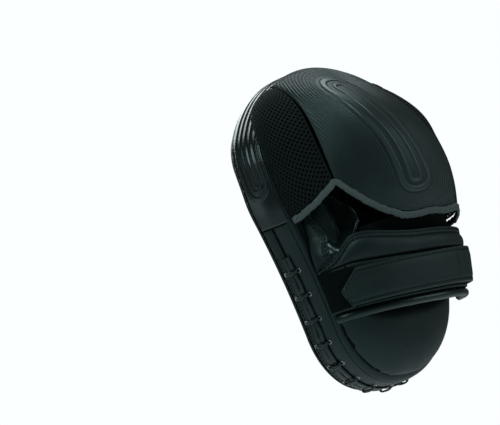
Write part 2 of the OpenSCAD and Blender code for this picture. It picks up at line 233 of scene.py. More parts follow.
def side_point(u, v, side):
    """Mesh side: u from the rim to the seam, v from the crown to the lip."""
    u, v = np.broadcast_arrays(u, v)
    foot_z, top, share = ((LEFT_FOOT, LEFT_TOP, wrap(v)) if side < 0
                          else (RIGHT_FOOT, RIGHT_TOP, 0.0))
    z = foot_z + RIM_SPAN * np.sin(math.asin((top - foot_z) / RIM_SPAN) * (1 - v))
    foot = on_back(side * half_width(z, HOOD_INSET - OVERHANG * share), z, wrap_depth(share))
    seam = left_seam(v) if side < 0 else right_seam(v)
    full = np.sin(2 * np.pi * np.minimum(v, 0.5))
    bulge, rise = ((3 * np.sin(np.pi * np.minimum(v, 0.5)), 0.75) if side < 0
                   else (5 * full, 0.5 + 0.1 * full))
    knee = foot.copy()
    knee[..., 0] += side * bulge
    knee[..., 1] -= (foot[..., 1] - seam[..., 1]) * rise
    return bezier(foot, knee, seam, column(u))


# wrist arch and thumb stall

LEFT_END, RIGHT_END = 150.5, 29.5
SHELL_LOW = CUFF_RIM + 3.7
FOOT_INSET = 4.0


def arch_base(a, z):
    """Point of the arch's inner surface."""
    a = np.radians(a)
    c, s = np.cos(a), np.clip(np.sin(a), 1e-6, 1)
    w = mix(half_width(z, FOOT_INSET), 74, 0.5)
    x = w * np.sign(c) * np.abs(c) ** 0.85
    return np.stack([x, bent_y(z, -LIFT) - ARCH_HEIGHT * s ** 0.8, z + 0 * x], -1)


def arch(a, z, off=0.0):
    """Point of the wrist's arch; a runs from 180 at the thumb side to 0."""
    a, z, off = np.broadcast_arrays(*[np.asarray(v, float) for v in (a, z, off)])
    onward = unit(arch_base(np.minimum(a + 1, 179.5), z)
                  - arch_base(np.maximum(a - 1, 0.5), z))
    n = np.stack([-onward[..., 1], onward[..., 0], 0 * a], -1)
    return arch_base(a, z) + off[..., None] * n


def stall(a, z):
    """Point of the thumb's tunnel, which narrows upwards; a runs from 180 to 0."""
    a, z = np.broadcast_arrays(np.radians(a), np.asarray(z, float))
    half = 14 - 4 * (np.maximum(0, z) / 30) ** 2
    return on_back(-62 + half * np.cos(a), z, -LIFT - half * np.sin(a))


# ---------- surfaces and meshes ----------

def bumps(points, size, seed=0.0):
    """Smooth noise between about -1 and 1; size is the width of a bump."""
    flat = points.reshape(-1, 3) / size + (seed, 0, 0)
    return np.array([noise.noise(p) for p in flat.tolist()]).reshape(points.shape[:-1])


def spread(count, length, edge):
    """Parameters from 0 to 1 with close steps within edge of both ends."""
    close = np.array([0, 0.06, 0.25, 0.6]) * edge / length
    middle = np.linspace(edge / length, 1 - edge / length, count)
    return np.concatenate([close, middle, 1 - close[::-1]])


class Surface:
    """Grid of points with normals, looked up by its rows' and columns' own coordinates."""

    def __init__(self, points, rows, columns, away, wrap=False):
        self.points, self.rows, self.columns, self.wrap = points, rows, columns, wrap
        if wrap:
            across = np.roll(points, -1, 1) - np.roll(points, 1, 1)
        else:
            across = np.gradient(points, axis=1)
        self.normals = unit(np.cross(np.gradient(points, axis=0), across))
        if np.sum(self.normals * (points - np.array(away, float))) < 0:
            self.normals = -self.normals
        self.away = away

    def moved(self, amount):
        amount = np.broadcast_to(amount, self.points.shape[:2])
        return Surface(self.points + amount[..., None] * self.normals,
                       self.rows, self.columns, self.away, self.wrap)

    def at(self, row, col, off=0.0):
        """Points and normals along a line of row and column coordinates."""
        row, col = np.broadcast_arrays(np.asarray(row, float), np.asarray(col, float))
        i = np.interp(row, self.rows, np.arange(len(self.rows)))
        j = np.interp(col, self.columns, np.arange(len(self.columns)))
        i0 = np.clip(i.astype(int), 0, len(self.rows) - 2)
        j0 = np.clip(j.astype(int), 0, len(self.columns) - 2)
        fi, fj = column(i - i0), column(j - j0)

        def pick(g):
            return ((g[i0, j0] * (1 - fj) + g[i0, j0 + 1] * fj) * (1 - fi)
                    + (g[i0 + 1, j0] * (1 - fj) + g[i0 + 1, j0 + 1] * fj) * fi)
        n = unit(pick(self.normals))
        return pick(self.points) + off * n, n


def surface(shape, rows, columns, away, wrap=False):
    """Surface of a function of (row, column)."""
    return Surface(shape(np.asarray(rows)[:, None], np.asarray(columns)[None, :]),
                   rows, columns, away, wrap)


def edge_profile(points, radius, open_sides):
    """1 inside, falling in a quarter round to 0 on the open sides (first/last row, column)."""
    gap = np.full(points.shape[:2], 1e9)
    for axis, (first, last) in enumerate((open_sides[:2], open_sides[2:])):
        steps = np.linalg.norm(np.diff(points, axis=axis), axis=-1)
        start = np.zeros_like(points[:1, :, 0] if axis == 0 else points[:, :1, 0])
        run = np.concatenate([start, np.cumsum(steps, axis=axis)], axis=axis)
        if first:
            gap = np.minimum(gap, run)
        if last:
            gap = np.minimum(gap, run.take([-1], axis) - run)
    t = np.clip(gap / radius, 0, 1)
    return np.sqrt(1 - (1 - t) ** 2), gap


def shell_faces(n, m, wrap):
    """Quads of a closed shell between two n by m grids."""
    def at(i, j, side):
        return (side * n + i) * m + j % m
    faces = []
    last = m if wrap else m - 1
    for i in range(n - 1):
        for j in range(last):
            faces.append((at(i, j, 0), at(i, j + 1, 0), at(i + 1, j + 1, 0), at(i + 1, j, 0)))
            faces.append((at(i, j, 1), at(i + 1, j, 1), at(i + 1, j + 1, 1), at(i, j + 1, 1)))
    for j in range(last):
        for i in (0, n - 1):
            faces.append((at(i, j, 0), at(i, j, 1), at(i, j + 1, 1), at(i, j + 1, 0)))
    if not wrap:
        for i in range(n - 1):
            for j in (0, m - 1):
                faces.append((at(i, j, 0), at(i + 1, j, 0), at(i + 1, j, 1), at(i, j, 1)))
    return faces


def new_piece(name, points, faces, material, marks=None):
    """Object from points in millimetres, with shared corners merged and normals outwards.
    marks, one number a point, are kept as an attribute for the material."""
    mesh = bpy.data.meshes.new(name)
    mesh.from_pydata((np.asarray(points, float).reshape(-1, 3) * MM).tolist(), [], faces)
    if marks is not None:
        mesh.attributes.new("mark", "FLOAT", "POINT").data.foreach_set("value", marks)
    bm = bmesh.new()
    bm.from_mesh(mesh)
    bmesh.ops.remove_doubles(bm, verts=bm.verts, dist=2e-6)
    bmesh.ops.dissolve_degenerate(bm, dist=1e-6, edges=bm.edges)
    bmesh.ops.recalc_face_normals(bm, faces=bm.faces)
    for face in bm.faces:
        face.smooth = True
    bm.to_mesh(mesh)
    bm.free()
    return add_object(name, mesh, material)


def add_object(name, mesh, material):
    remember_rest(mesh)
    piece = bpy.data.objects.new(name, mesh)
    bpy.context.scene.collection.objects.link(piece)
    mesh.materials.append(material)
    return piece


def remember_rest(mesh):
    """Keeps the rest shape as an attribute, which the materials' patterns follow."""
    co = np.zeros(len(mesh.vertices) * 3, np.float32)
    mesh.vertices.foreach_get("co", co)
    rest = mesh.attributes.get("rest") or mesh.attributes.new("rest", "FLOAT_VECTOR", "POINT")
    rest.data.foreach_set("vector", co)


def panel(name, base, thick, material, extra=0.0, rounding=1.6,
          open_sides=(1, 1, 1, 1), uneven=0.0, uneven_size=25.0, marks=None):
    """Closed leather panel whose outer face is the base surface plus extra. Returns it and that face."""
    profile, gap = edge_profile(base.points, rounding, open_sides)
    extra = np.broadcast_to(extra, profile.shape)
    if uneven:
        fade = np.clip(gap / 8, 0, 1)
        extra = extra + uneven * fade * bumps(base.points, uneven_size, len(name))
    inner = base.moved(-thick)
    outer = inner.points + ((thick + extra) * profile)[..., None] * base.normals
    n, m = profile.shape
    points = np.concatenate([outer.reshape(-1, 3), inner.points.reshape(-1, 3)])
    if marks is not None:
        marks = np.concatenate([marks.ravel(), np.zeros(n * m)]).astype(np.float32)
    piece = new_piece(name, points, shell_faces(n, m, base.wrap), material, marks)
    return piece, Surface(outer, base.rows, base.columns, base.away, base.wrap)


def tube_faces(n, k, start=0):
    """Quads between n rings of k points, numbered from start."""
    return [(start + i * k + j, start + i * k + (j + 1) % k,
             start + (i + 1) * k + (j + 1) % k, start + (i + 1) * k + j)
            for i in range(n - 1) for j in range(k)]


def bar(path, up, section, start=0):
    """Points and faces of a closed bar along a path; its points are numbered from start.
    section is (k, 2) or (n, k, 2): across and up, in order round it."""
    ahead = unit(np.gradient(path, axis=0))
    across = unit(np.cross(ahead, up))
    up = np.cross(across, ahead)
    n, k = len(path), section.shape[-2]
    section = np.broadcast_to(section, (n, k, 2))
    points = (path[:, None] + section[..., :1] * across[:, None]
              + section[..., 1:] * up[:, None])
    ends = [tuple(start + i * k + j for j in range(k)) for i in (0, n - 1)]
    return points.reshape(-1, 3), tube_faces(n, k, start) + ends


def sweep(name, path, up, section, material):
    points, faces = bar(path, up, section)
    return new_piece(name, points, faces, material)


def oval(width, height, count=14, power=1.0):
    """Section of a flat or round bar; power under 1 squares it off."""
    a = np.linspace(0, 2 * np.pi, count, endpoint=False)
    c, s = np.cos(a), np.sin(a)
    return np.stack([width / 2 * np.sign(c) * np.abs(c) ** power,
                     height / 2 * np.sign(s) * np.abs(s) ** power], -1)


def rows_at(t, run, values):
    """The rows of values, which belong to the runs in run, at the runs in t."""
    return np.stack([np.interp(t, run, values[:, k]) for k in range(3)], -1)


def along(path, step):
    """Evenly spaced points of a path, their runs and the runs of the path's own points."""
    run = np.concatenate([[0], np.cumsum(np.linalg.norm(np.diff(path, axis=0), axis=1))])
    count = max(2, int(round(run[-1] / step)) + 1)
    t = np.linspace(0, run[-1], count)
    return rows_at(t, run, path), t, run


def smoothed(path):
    """Path whose points are each the mean of nine neighbours."""
    return np.stack([np.convolve(np.pad(path[:, k], 4, "edge"), np.ones(9) / 9, "valid")
                     for k in range(3)], -1)


STITCH_RINGS = ((-1.0, 0.0), (-0.8, 0.62), (-0.35, 1.0), (0.35, 1.0), (0.8, 0.62), (1.0, 0.0))
STITCH_SIDES = 6


def stitches(name, lines, material, ride=True, pitch=3.6, length=2.7, width=0.85):
    """Rows of sewn stitches, each a small bead of thread lying along its line.
    They ride on the mitt, or are left unattached."""
    points, faces = [], []
    for path, normals in lines:
        centres, t, run = along(path, pitch)
        up = unit(rows_at(t, run, normals))
        ahead = unit(np.gradient(centres, axis=0))
        across = np.cross(ahead, up)
        for c, a, x, u in zip(centres[:-1], ahead, across, up):
            start = len(points)
            for shift, size in STITCH_RINGS:
                for k in range(STITCH_SIDES):
                    turn = 2 * math.pi * k / STITCH_SIDES
                    points.append(c + a * shift * length / 2
                                  + size * width / 2 * (x * math.cos(turn)
                                                        + u * 0.8 * math.sin(turn)))
            faces += tube_faces(len(STITCH_RINGS), STITCH_SIDES, start)
    piece = new_piece(name, np.array(points), faces, material)
    if ride:
        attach(piece, "mitt")
    return piece


def trough(distance, depth, width):
    """Groove of a seam, as a change of height at each distance from it."""
    return -depth * np.exp(-(distance / width) ** 2)


def place(piece, nodes=()):
    """Rides on the mitt and stands for its CAD nodes, which it hides."""
    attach(piece, "mitt")
    if nodes:
        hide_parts(*nodes)


def swell(piece, cap, held=None):
    """Cloth simulation under pressure: the piece's skin is remeshed, swollen by up to cap and
    applied. held(points in millimetres) gives how firmly each point stays, from 0 to 1."""
    old_material = piece.data.materials[0]
    remesh = piece.modifiers.new("remesh", "REMESH")
    remesh.mode = "VOXEL"
    remesh.voxel_size = SWELL_VOXEL * MM
    depsgraph = bpy.context.evaluated_depsgraph_get()
    start = bpy.data.meshes.new_from_object(piece.evaluated_get(depsgraph))
    piece.modifiers.clear()
    piece.data = start
    rest = np.array([v.co for v in start.vertices], float)
    if held is not None:
        group = piece.vertex_groups.new(name="held")
        for i, w in enumerate(held(rest / MM)):
            if w > 0.01:
                group.add([i], float(min(w, 1)), "REPLACE")
    cloth = piece.modifiers.new("cloth", "CLOTH")
    cloth.settings.use_pressure = True
    cloth.settings.uniform_pressure_force = SWELL_PRESSURE
    cloth.settings.effector_weights.gravity = 0
    cloth.settings.quality = 5
    if held is not None:
        cloth.settings.vertex_group_mass = "held"
    scene = bpy.context.scene
    for step in range(1, 21):
        scene.frame_set(step)
    depsgraph = bpy.context.evaluated_depsgraph_get()
    swollen = bpy.data.meshes.new_from_object(piece.evaluated_get(depsgraph))
    moved = np.array([v.co for v in swollen.vertices], float) - rest
    size = np.linalg.norm(moved, axis=1, keepdims=True)
    kept = moved * np.minimum(1, cap * MM / np.maximum(size, 1e-9))
    swollen.vertices.foreach_set("co", (rest + kept).astype(np.float32).ravel())
    piece.modifiers.clear()
    piece.vertex_groups.clear()
    piece.data = swollen
    swollen.materials.clear()
    swollen.materials.append(old_material)
    for polygon in swollen.polygons:
        polygon.use_smooth = True
    remember_rest(swollen)
    scene.frame_set(1)
    smooth = piece.modifiers.new("smooth", "SUBSURF")
    smooth.levels = smooth.render_levels = 1


# ---------- materials ----------

class Nodes:
    """Short names for a material's nodes."""

    def __init__(self, name):
        self.material = bpy.data.materials.new(name)
        self.material.use_nodes = True
        self.tree = self.material.node_tree
        self.shader = self.tree.nodes["Principled BSDF"]

    def add(self, kind, **inputs):
        node = self.tree.nodes.new("ShaderNode" + kind)
        for key, value in inputs.items():
            socket = node.inputs[key.replace("_", " ")]
            if isinstance(value, bpy.types.NodeSocket):
                self.tree.links.new(value, socket)
            else:
                socket.default_value = value
        return node

    def where(self, stretch=(1, 1, 1), turn=(0, 0, 0)):
        """The rest shape's coordinates in metres, or the object's own on a CAD node."""
        rest = self.tree.nodes.new("ShaderNodeAttribute")
        rest.attribute_name = "rest"
        own = self.tree.nodes.new("ShaderNodeTexCoord")
        choose = self.add("Mix")
        choose.data_type = "VECTOR"
        self.tree.links.new(rest.outputs["Alpha"], choose.inputs["Factor"])
        self.tree.links.new(own.outputs["Object"], choose.inputs[4])
        self.tree.links.new(rest.outputs["Vector"], choose.inputs[5])
        mapping = self.add("Mapping", Vector=choose.outputs[1], Scale=stretch, Rotation=turn)
        return mapping.outputs["Vector"]

    def noise(self, vector, scale, detail=3.0, roughness=0.5):
        return self.add("TexNoise", Vector=vector, Scale=scale, Detail=detail,
                        Roughness=roughness).outputs["Fac"]

    def cells(self, vector, scale):
        return self.add("TexVoronoi", Vector=vector, Scale=scale).outputs["Distance"]

    def math(self, kind, a, b=0.0, c=0.0):
        node = self.tree.nodes.new("ShaderNodeMath")
        node.operation = kind
        for socket, value in zip(node.inputs, (a, b, c)):
            if isinstance(value, bpy.types.NodeSocket):
                self.tree.links.new(value, socket)
            else:
                socket.default_value = value
        return node.outputs[0]

    def ramp(self, fac, low, high, start=0.3, end=0.7):
        node = self.add("ValToRGB", Fac=fac)
        node.color_ramp.elements[0].position = start
        node.color_ramp.elements[0].color = (*low, 1)
        node.color_ramp.elements[1].position = end
        node.color_ramp.elements[1].color = (*high, 1)
        return node.outputs["Color"]

    def bump(self, height, distance, strength=1.0, normal=None):
        node = self.add("Bump", Height=height, Distance=distance, Strength=strength)
        if normal is not None:
            self.tree.links.new(normal, node.inputs["Normal"])
        return node.outputs["Normal"]

    def finish(self, color, roughness, normal, **fixed):
        for key, value in (("Base Color", color), ("Roughness", roughness), ("Normal", normal)):
            if isinstance(value, bpy.types.NodeSocket):
                self.tree.links.new(value, self.shader.inputs[key])
            elif value is not None:
                self.shader.inputs[key].default_value = value
        for key, value in fixed.items():
            self.shader.inputs[key.replace("_", " ")].default_value = value
        return self.material


COOL = (0.62, 1.0, 0.97, 1.0)        # the black leather's reflections are slightly green-blue


def tint(color, k):
    return tuple(min(1.0, c * k) for c in color)


def leather(name, color, rough, grain=0.10, cell=0.9, specular=0.5, coat=0.0, crease=0.15):
    """Coated leather: fine pebbled grain, soft creases and slight changes of colour and gloss.
    grain and crease are heights in millimetres, cell is the width of a grain."""
    n = Nodes(name)
    where = n.where()
    patch = n.noise(where, 28.0, 4.0)
    colour = n.ramp(patch, tint(color, 0.82), tint(color, 1.2))
    pebbles = n.cells(n.where(), 1000.0 / cell)
    fine = n.noise(where, 2600.0, 2.0)
    height = n.math("ADD", n.math("MULTIPLY", pebbles, 0.8), n.math("MULTIPLY", fine, 0.35))
    normal = n.bump(height, grain * MM, 0.9 if grain > 0.02 else 0.3)
    folds = n.noise(n.where((1.0, 1.0, 0.55)), 70.0, 5.0, 0.62)
    normal = n.bump(folds, crease * MM, 1.0, normal)
    gloss = n.math("MULTIPLY_ADD", n.noise(where, 60.0, 3.0), 0.16, rough - 0.08)
    return n.finish(colour, gloss, normal, Specular_IOR_Level=specular,
                    Specular_Tint=COOL, Coat_Weight=coat, Coat_Roughness=0.18)


def moulded(name, color, rough, marked=None):
    """Smooth rubbery film; where the mesh's mark attribute is 1 it has the marked colour."""
    n = Nodes(name)
    where = n.where()
    colour = n.ramp(n.noise(where, 22.0, 4.0), tint(color, 0.85), tint(color, 1.15))
    normal = n.bump(n.noise(where, 1800.0, 2.0), 0.03 * MM, 0.8)
    gloss = n.math("MULTIPLY_ADD", n.noise(where, 40.0, 3.0), 0.14, rough - 0.07)
    if marked is not None:
        mark = n.tree.nodes.new("ShaderNodeAttribute")
        mark.attribute_name = "mark"
        blend = n.add("Mix")
        blend.data_type = "RGBA"
        n.tree.links.new(mark.outputs["Fac"], blend.inputs["Factor"])
        n.tree.links.new(colour, blend.inputs[6])
        blend.inputs[7].default_value = (*marked, 1)
        colour = blend.outputs[2]
        gloss = n.math("MULTIPLY_ADD", mark.outputs["Fac"], -0.14, gloss)
    return n.finish(colour, gloss, normal, Specular_IOR_Level=0.5, Specular_Tint=COOL)


def woven(name, color, pitch, rough=0.8, depth=0.25, specular=0.25):
    """Plain weave of round threads; pitch is the distance between threads in millimetres."""
    n = Nodes(name)
    waves = []
    for axis in (0, 1):
        stretch = (1, 0, 0.6) if axis == 0 else (0.2, 0.6, 1)
        wave = n.add("TexWave", Vector=n.where(stretch, (0, axis * math.pi / 2, 0)),
                     Scale=160.0 / pitch, Distortion=0.6, Detail=1.0)
        waves.append(wave.outputs["Fac"])
    height = n.math("MULTIPLY", waves[0], waves[1])
    normal = n.bump(height, depth * MM, 1.0)
    # colour follows the weave's height: painted highlight on the threads' crowns and painted shade in
    # the hollows between them
    painted_weave_light_and_shade = n.ramp(height, tint(color, 0.45), tint(color, 1.25), 0.05, 0.75)
    return n.finish(painted_weave_light_and_shade, rough, normal, Specular_IOR_Level=specular, Specular_Tint=COOL)


def fuzzy(name, color, size, depth):
    """Pile or foam: crowded small tufts or open cells."""
    n = Nodes(name)
    where = n.where()
    tufts = n.cells(where, 1000.0 / size)
    mess = n.noise(where, 900.0, 5.0, 0.75)
    height = n.math("ADD", tufts, mess)
    # colour follows the height: painted shade in the hollows between tufts and cells, painted light on
    # their tops
    colour = n.ramp(height, tint(color, 0.4), tint(color, 1.5), 0.4, 1.0)
    normal = n.bump(height, depth * MM, 1.0)
    return n.finish(colour, 0.95, normal, Specular_IOR_Level=0.15, Specular_Tint=COOL)


def metal(name, color):
    n = Nodes(name)
    scratches = n.noise(n.where((1, 1, 6)), 900.0, 3.0)
    gloss = n.math("MULTIPLY_ADD", scratches, 0.18, 0.2)
    return n.finish((*color, 1), gloss, n.bump(scratches, 0.01 * MM, 0.4), Metallic=1.0)


STRIKE = leather("strike_leather", (0.0075, 0.0130, 0.0130), 0.48)
SIDE = leather("side_leather", (0.0055, 0.0100, 0.0102), 0.44)
GLOSS = leather("gloss_leather", (0.0050, 0.0085, 0.0090), 0.24, grain=0.0, crease=0.05,
                coat=0.25)
TAIL_SKIN = leather("tail_leather", (0.0055, 0.0100, 0.0102), 0.50)
CUFF = leather("cuff_leather", (0.0060, 0.0108, 0.0108), 0.46)
SHINY = leather("shiny_leather", (0.0060, 0.0108, 0.0108), 0.27, grain=0.02, crease=0.35)
STRAP = leather("strap_leather", (0.0080, 0.0140, 0.0130), 0.48)
HOOD = moulded("hood_moulding", (0.0090, 0.0150, 0.0145), 0.42, (0.034, 0.050, 0.049))
LINING = woven("lining", (0.0026, 0.0034, 0.0040), 0.9, 0.9, 0.25)
MESH = woven("mesh_fabric", (0.0058, 0.0088, 0.0082), 0.45, 0.75, 0.05)
MESH_BACK = woven("mesh_backing", (0.0012, 0.0018, 0.0018), 0.7, specular=0.1)
BINDING = woven("binding", (0.130, 0.170, 0.170), 0.5, 0.6, 0.06)
THREAD = woven("thread", (0.0040, 0.0070, 0.0070), 0.3, 0.6, 0.05)
PILE = fuzzy("loop_pile", (0.0022, 0.0040, 0.0040), 0.8, 0.5)
HOOKS = fuzzy("hook_tape", (0.006, 0.006, 0.007), 0.5, 0.3)
FOAM = fuzzy("foam", (0.040, 0.040, 0.042), 0.7, 0.12)
GEL = moulded("gel", (0.03, 0.09, 0.13), 0.25)
BOARD = fuzzy("board", (0.030, 0.028, 0.026), 1.4, 0.08)
LACE = leather("lace", (0.0060, 0.0105, 0.0105), 0.34, grain=0.01, crease=0.10, coat=0.1)
EYELET = metal("eyelet", (0.36, 0.40, 0.40))

CAD_MATERIALS = {
    "gel_core": GEL, "stiffener_board": BOARD, "rear_foam": FOAM,
    "tail_foam": FOAM, "strap_run_hook": HOOKS, "strap_tip_hook": HOOKS,
    "strap_elastic": LINING,
}
for node_name, node_material in CAD_MATERIALS.items():
    node_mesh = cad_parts[node_name].data
    node_mesh.materials.clear()
    node_mesh.materials.append(node_material)


# ---------- camera, light and floor ----------

def turn_about(axis, degrees):
    return np.array(Matrix.Rotation(math.radians(degrees), 3, axis))


VIEW = turn_about("Y", -16.0) @ turn_about("X", -6.2) @ turn_about("Z", 47.6)
SHARPNESS = 1.298                    # picture points per millimetre at the origin
DISTANCE = 3146.0
PICTURE = (500, 425)
ORIGIN_AT = (370.61, 220.27)         # where the origin falls in the picture

camera = bpy.data.objects.new("camera", bpy.data.cameras.new("camera"))
bpy.context.scene.collection.objects.link(camera)
bpy.context.scene.camera = camera
camera.data.sensor_width = 36.0
camera.data.lens = SHARPNESS * DISTANCE * camera.data.sensor_width / PICTURE[0]
right, forward, upward = VIEW.T @ (1, 0, 0), VIEW.T @ (0, 1, 0), VIEW.T @ (0, 0, 1)
stand = VIEW.T @ ((PICTURE[0] / 2 - ORIGIN_AT[0]) / SHARPNESS, -DISTANCE,
                  (ORIGIN_AT[1] - PICTURE[1] / 2) / SHARPNESS)
camera.matrix_world = Matrix([
    (*[right[k], upward[k], -forward[k]], stand[k] * MM) for k in range(3)] + [(0, 0, 0, 1)])
camera.data.clip_end = 30.0

FLOOR_LEVEL = -0.62
floor_mesh = bpy.data.meshes.new("floor")
floor_mesh.from_pydata([(-9, -9, FLOOR_LEVEL), (9, -9, FLOOR_LEVEL),
                        (9, 9, FLOOR_LEVEL), (-9, 9, FLOOR_LEVEL)], [], [(0, 1, 2, 3)])
floor = bpy.data.objects.new("floor", floor_mesh)
bpy.context.scene.collection.objects.link(floor)
floor_nodes = Nodes("floor")
floor_mesh.materials.append(floor_nodes.finish((0.86, 0.88, 0.89, 1), 0.9, None))

bpy.context.scene.view_settings.view_transform = "Standard"
world = bpy.data.worlds.new("studio")
bpy.context.scene.world = world
world.use_nodes = True
tree = world.node_tree
tree.nodes.clear()
out = tree.nodes.new("ShaderNodeOutputWorld")
backdrop = tree.nodes.new("ShaderNodeBackground")
backdrop.inputs["Color"].default_value = (0.97, 1.0, 1.0, 1)
backdrop.inputs["Strength"].default_value = 1.0
surround = tree.nodes.new("ShaderNodeBackground")
surround.inputs["Color"].default_value = (0.86, 0.96, 1.0, 1)
surround.inputs["Strength"].default_value = 0.075
choose = tree.nodes.new("ShaderNodeMixShader")
ray = tree.nodes.new("ShaderNodeLightPath")
tree.links.new(ray.outputs["Is Camera Ray"], choose.inputs["Fac"])
tree.links.new(surround.outputs[0], choose.inputs[1])
tree.links.new(backdrop.outputs[0], choose.inputs[2])
tree.links.new(choose.outputs[0], out.inputs["Surface"])


def softbox(name, at, size, power, color=(0.93, 0.98, 1.0)):
    """Area light that faces the object."""
    light = bpy.data.lights.new(name, "AREA")
    light.shape = "RECTANGLE"
    light.size, light.size_y = size
    light.energy = power
    light.color = color
    lamp = bpy.data.objects.new(name, light)
    bpy.context.scene.collection.objects.link(lamp)
    lamp.location = at
    lamp.rotation_mode = "QUATERNION"
    lamp.rotation_quaternion = Vector(at).to_track_quat("Z", "Y")


softbox("key", (-0.5, -1.3, 1.9), (1.1, 0.7), 15)
softbox("left", (-2.0, -0.3, 1.2), (0.45, 1.2), 8)
softbox("right", (1.7, -1.3, 0.6), (0.5, 1.3), 3)
softbox("top_back", (0.3, 1.3, 1.4), (1.4, 0.8), 10)
softbox("back_left", (-1.3, 1.5, 0.2), (0.5, 1.4), 1.5)
softbox("top_right", (1.1, 0.1, 1.8), (0.8, 0.9), 7)
softbox("rear", (1.0, 1.9, 0.9), (1.1, 1.1), 12)

# ---------- pad ----------

CENTRE = (0.0, 20.0, 0.0)            # inside the pad, so that its skins face away from it
BACK = (0.0, 60.0, 20.0)             # beyond the strike face, for what lies on the hand side
RIM_COUNT = 300
RIM_RUNS = np.linspace(-HALF_RIM, HALF_RIM, RIM_COUNT, endpoint=False)
PAD_MIDDLE = 12.0                    # level of the middle of the strike face
SIDE_SEAM = 31.0                     # depth of the seam between the side and the strike ring
SKIN = 1.4                           # thickness of the leather
TARGET_RINGS = (34.0, 22.0, 9.0)     # radii of the raised rings on the strike face
TARGET_SEAMS = (31.8, 34.6)          # insets of the strike face's two rows of stitches
STRIPE_END = 34.0                    # how far the stripes stop short of the band's ends
STRIPE_PITCH = 5.2
STRIPE_REACH = 12.4                  # half of the striped width
LACE_LINE = PAD_DEPTH / 2 - 0.2      # depth of the lace
LACED_TOP = -14.0                    # level where the lacing ends
EYELET_SPREAD = 6.5                  # from the lace's middle to an eyelet


def pad_rows(profile, inner_steps):
    """Shape whose rows follow the profile's (inset, depth) and then close to the centre,
    and the rows' numbers."""
    profile = np.asarray(profile, float)

    def shape(row, run):
        row, run = np.broadcast_arrays(row, run)
        inset = np.interp(row, np.arange(len(profile)), profile[:, 0])
        depth = np.interp(row, np.arange(len(profile)), profile[:, 1])
        x, z, nx, nz = rim(run)
        x, z = x - inset * nx, z - inset * nz
        share = np.clip((row - len(profile) + 1) / inner_steps, 0, 1)
        x, z = x * (1 - share), mix(z, PAD_MIDDLE, share)
        return on_back(x, z, depth)
    return shape, np.arange(len(profile) + inner_steps, dtype=float)


def quarter(inset, depth, wide, deep, count, power=2.3):
    """Rounded corner from the pad's side onto its face, as (inset, depth) rows."""
    a = np.linspace(0, math.pi / 2, count)
    return np.stack([inset + wide * (1 - np.cos(a) ** (2 / power)),
                     depth + deep * np.sin(a) ** (2 / power)], -1)


def strike_ring():
    corner = quarter(-0.3, SIDE_SEAM, 15, 9.6, 16)
    insets = np.concatenate([np.linspace(17, 27, 8), [28.2, 29, 29.5]])
    crown = (40.6 + 0.9 * np.sin(np.pi * np.clip((insets - 12) / 14, 0, 1))
             - 2.6 * np.clip((insets - 22) / 7.5, 0, 1) ** 2.2)
    profile = np.concatenate([corner, np.stack([insets, crown], -1)])
    shape, rows = pad_rows(profile, 0)
    base = surface(shape, rows, RIM_RUNS, CENTRE, wrap=True)
    piece, _ = panel("strike_ring", base, SKIN, STRIKE, rounding=0.9,
                     open_sides=(1, 1, 0, 0), uneven=0.35, uneven_size=38)
    place(piece, ["strike_ring_panel"])

    core = quarter(2.4, 16.5, 15, 20, 10)
    shape, rows = pad_rows(np.concatenate([[[8.0, 15.4]], core]), 6)
    base = surface(shape, rows, RIM_RUNS, CENTRE, wrap=True)
    piece, _ = panel("front_foam_core", base, 0.6, FOAM, open_sides=(0, 0, 0, 0))
    place(piece, ["front_foam"])


def strike_target():
    insets = np.concatenate([[30.0, 30.3, 30.9, 31.8], np.linspace(33, 36, 4)])
    depth = 38.0 + 3.6 * (1 - np.exp(-(insets - 30) / 4.0))
    seam_lines = sum(trough(insets - k, 0.5, 0.7) for k in TARGET_SEAMS)
    shape, rows = pad_rows(np.stack([insets, depth], -1), 34)
    base = surface(shape, rows, RIM_RUNS, CENTRE, wrap=True)
    x, z = base.points[..., 0], base.points[..., 2]
    from_middle = np.hypot(x, z - PAD_MIDDLE)
    marks = sum(0.55 * np.exp(-((from_middle - r) / 1.1) ** 4) for r in TARGET_RINGS)
    extra = marks + np.concatenate([seam_lines, np.zeros(34)])[:, None]
    piece, skin = panel("strike_target", base, SKIN, STRIKE, extra=extra,
                        rounding=0.9, open_sides=(1, 0, 0, 0), uneven=0.3, uneven_size=42)
    place(piece, ["strike_target_panel"])
    seam_rows = [np.interp(k, insets, rows[:len(insets)]) for k in TARGET_SEAMS]
    lines = [skin.at(np.full(len(RIM_RUNS), r), RIM_RUNS, 0.15) for r in seam_rows]
    stitches("target_stitches", lines, THREAD)


def edge_band():
    start = rim_run(BAND_SEAM) + 0.2
    end = 2 * HALF_RIM - start
    depths = np.concatenate([[0.6], np.linspace(1.4, SIDE_SEAM - 1.4, 60), [SIDE_SEAM - 0.3]])
    runs = start + (end - start) * spread(420, end - start, 2.0)

    def shape(d, s):
        d, s = np.broadcast_arrays(d, s)
        share = np.clip(d / SIDE_SEAM, 0, 1)
        bulge = -0.2 - 1.3 * np.sin(np.pi * share)
        tuck = 2.2 * np.clip(1 - d / 3.0, 0, 1) ** 2
        return at_rim(s, bulge + tuck, d)
    base = surface(shape, depths, runs, CENTRE)
    s = runs[None, :]
    d = depths[:, None]
    nearest = np.clip(s, start + STRIPE_END, end - STRIPE_END)
    reach = np.hypot(s - nearest, d - SIDE_SEAM / 2)
    ridges = 0.5 + 0.5 * np.cos(2 * np.pi * reach / STRIPE_PITCH)
    ridges = ridges ** 0.7 * np.clip((STRIPE_REACH - reach) / 1.2, 0, 1)
    piece, _ = panel("edge_band", base, SKIN, GLOSS, extra=0.9 * ridges,
                     rounding=1.0)
    place(piece, ["upper_edge_band"])


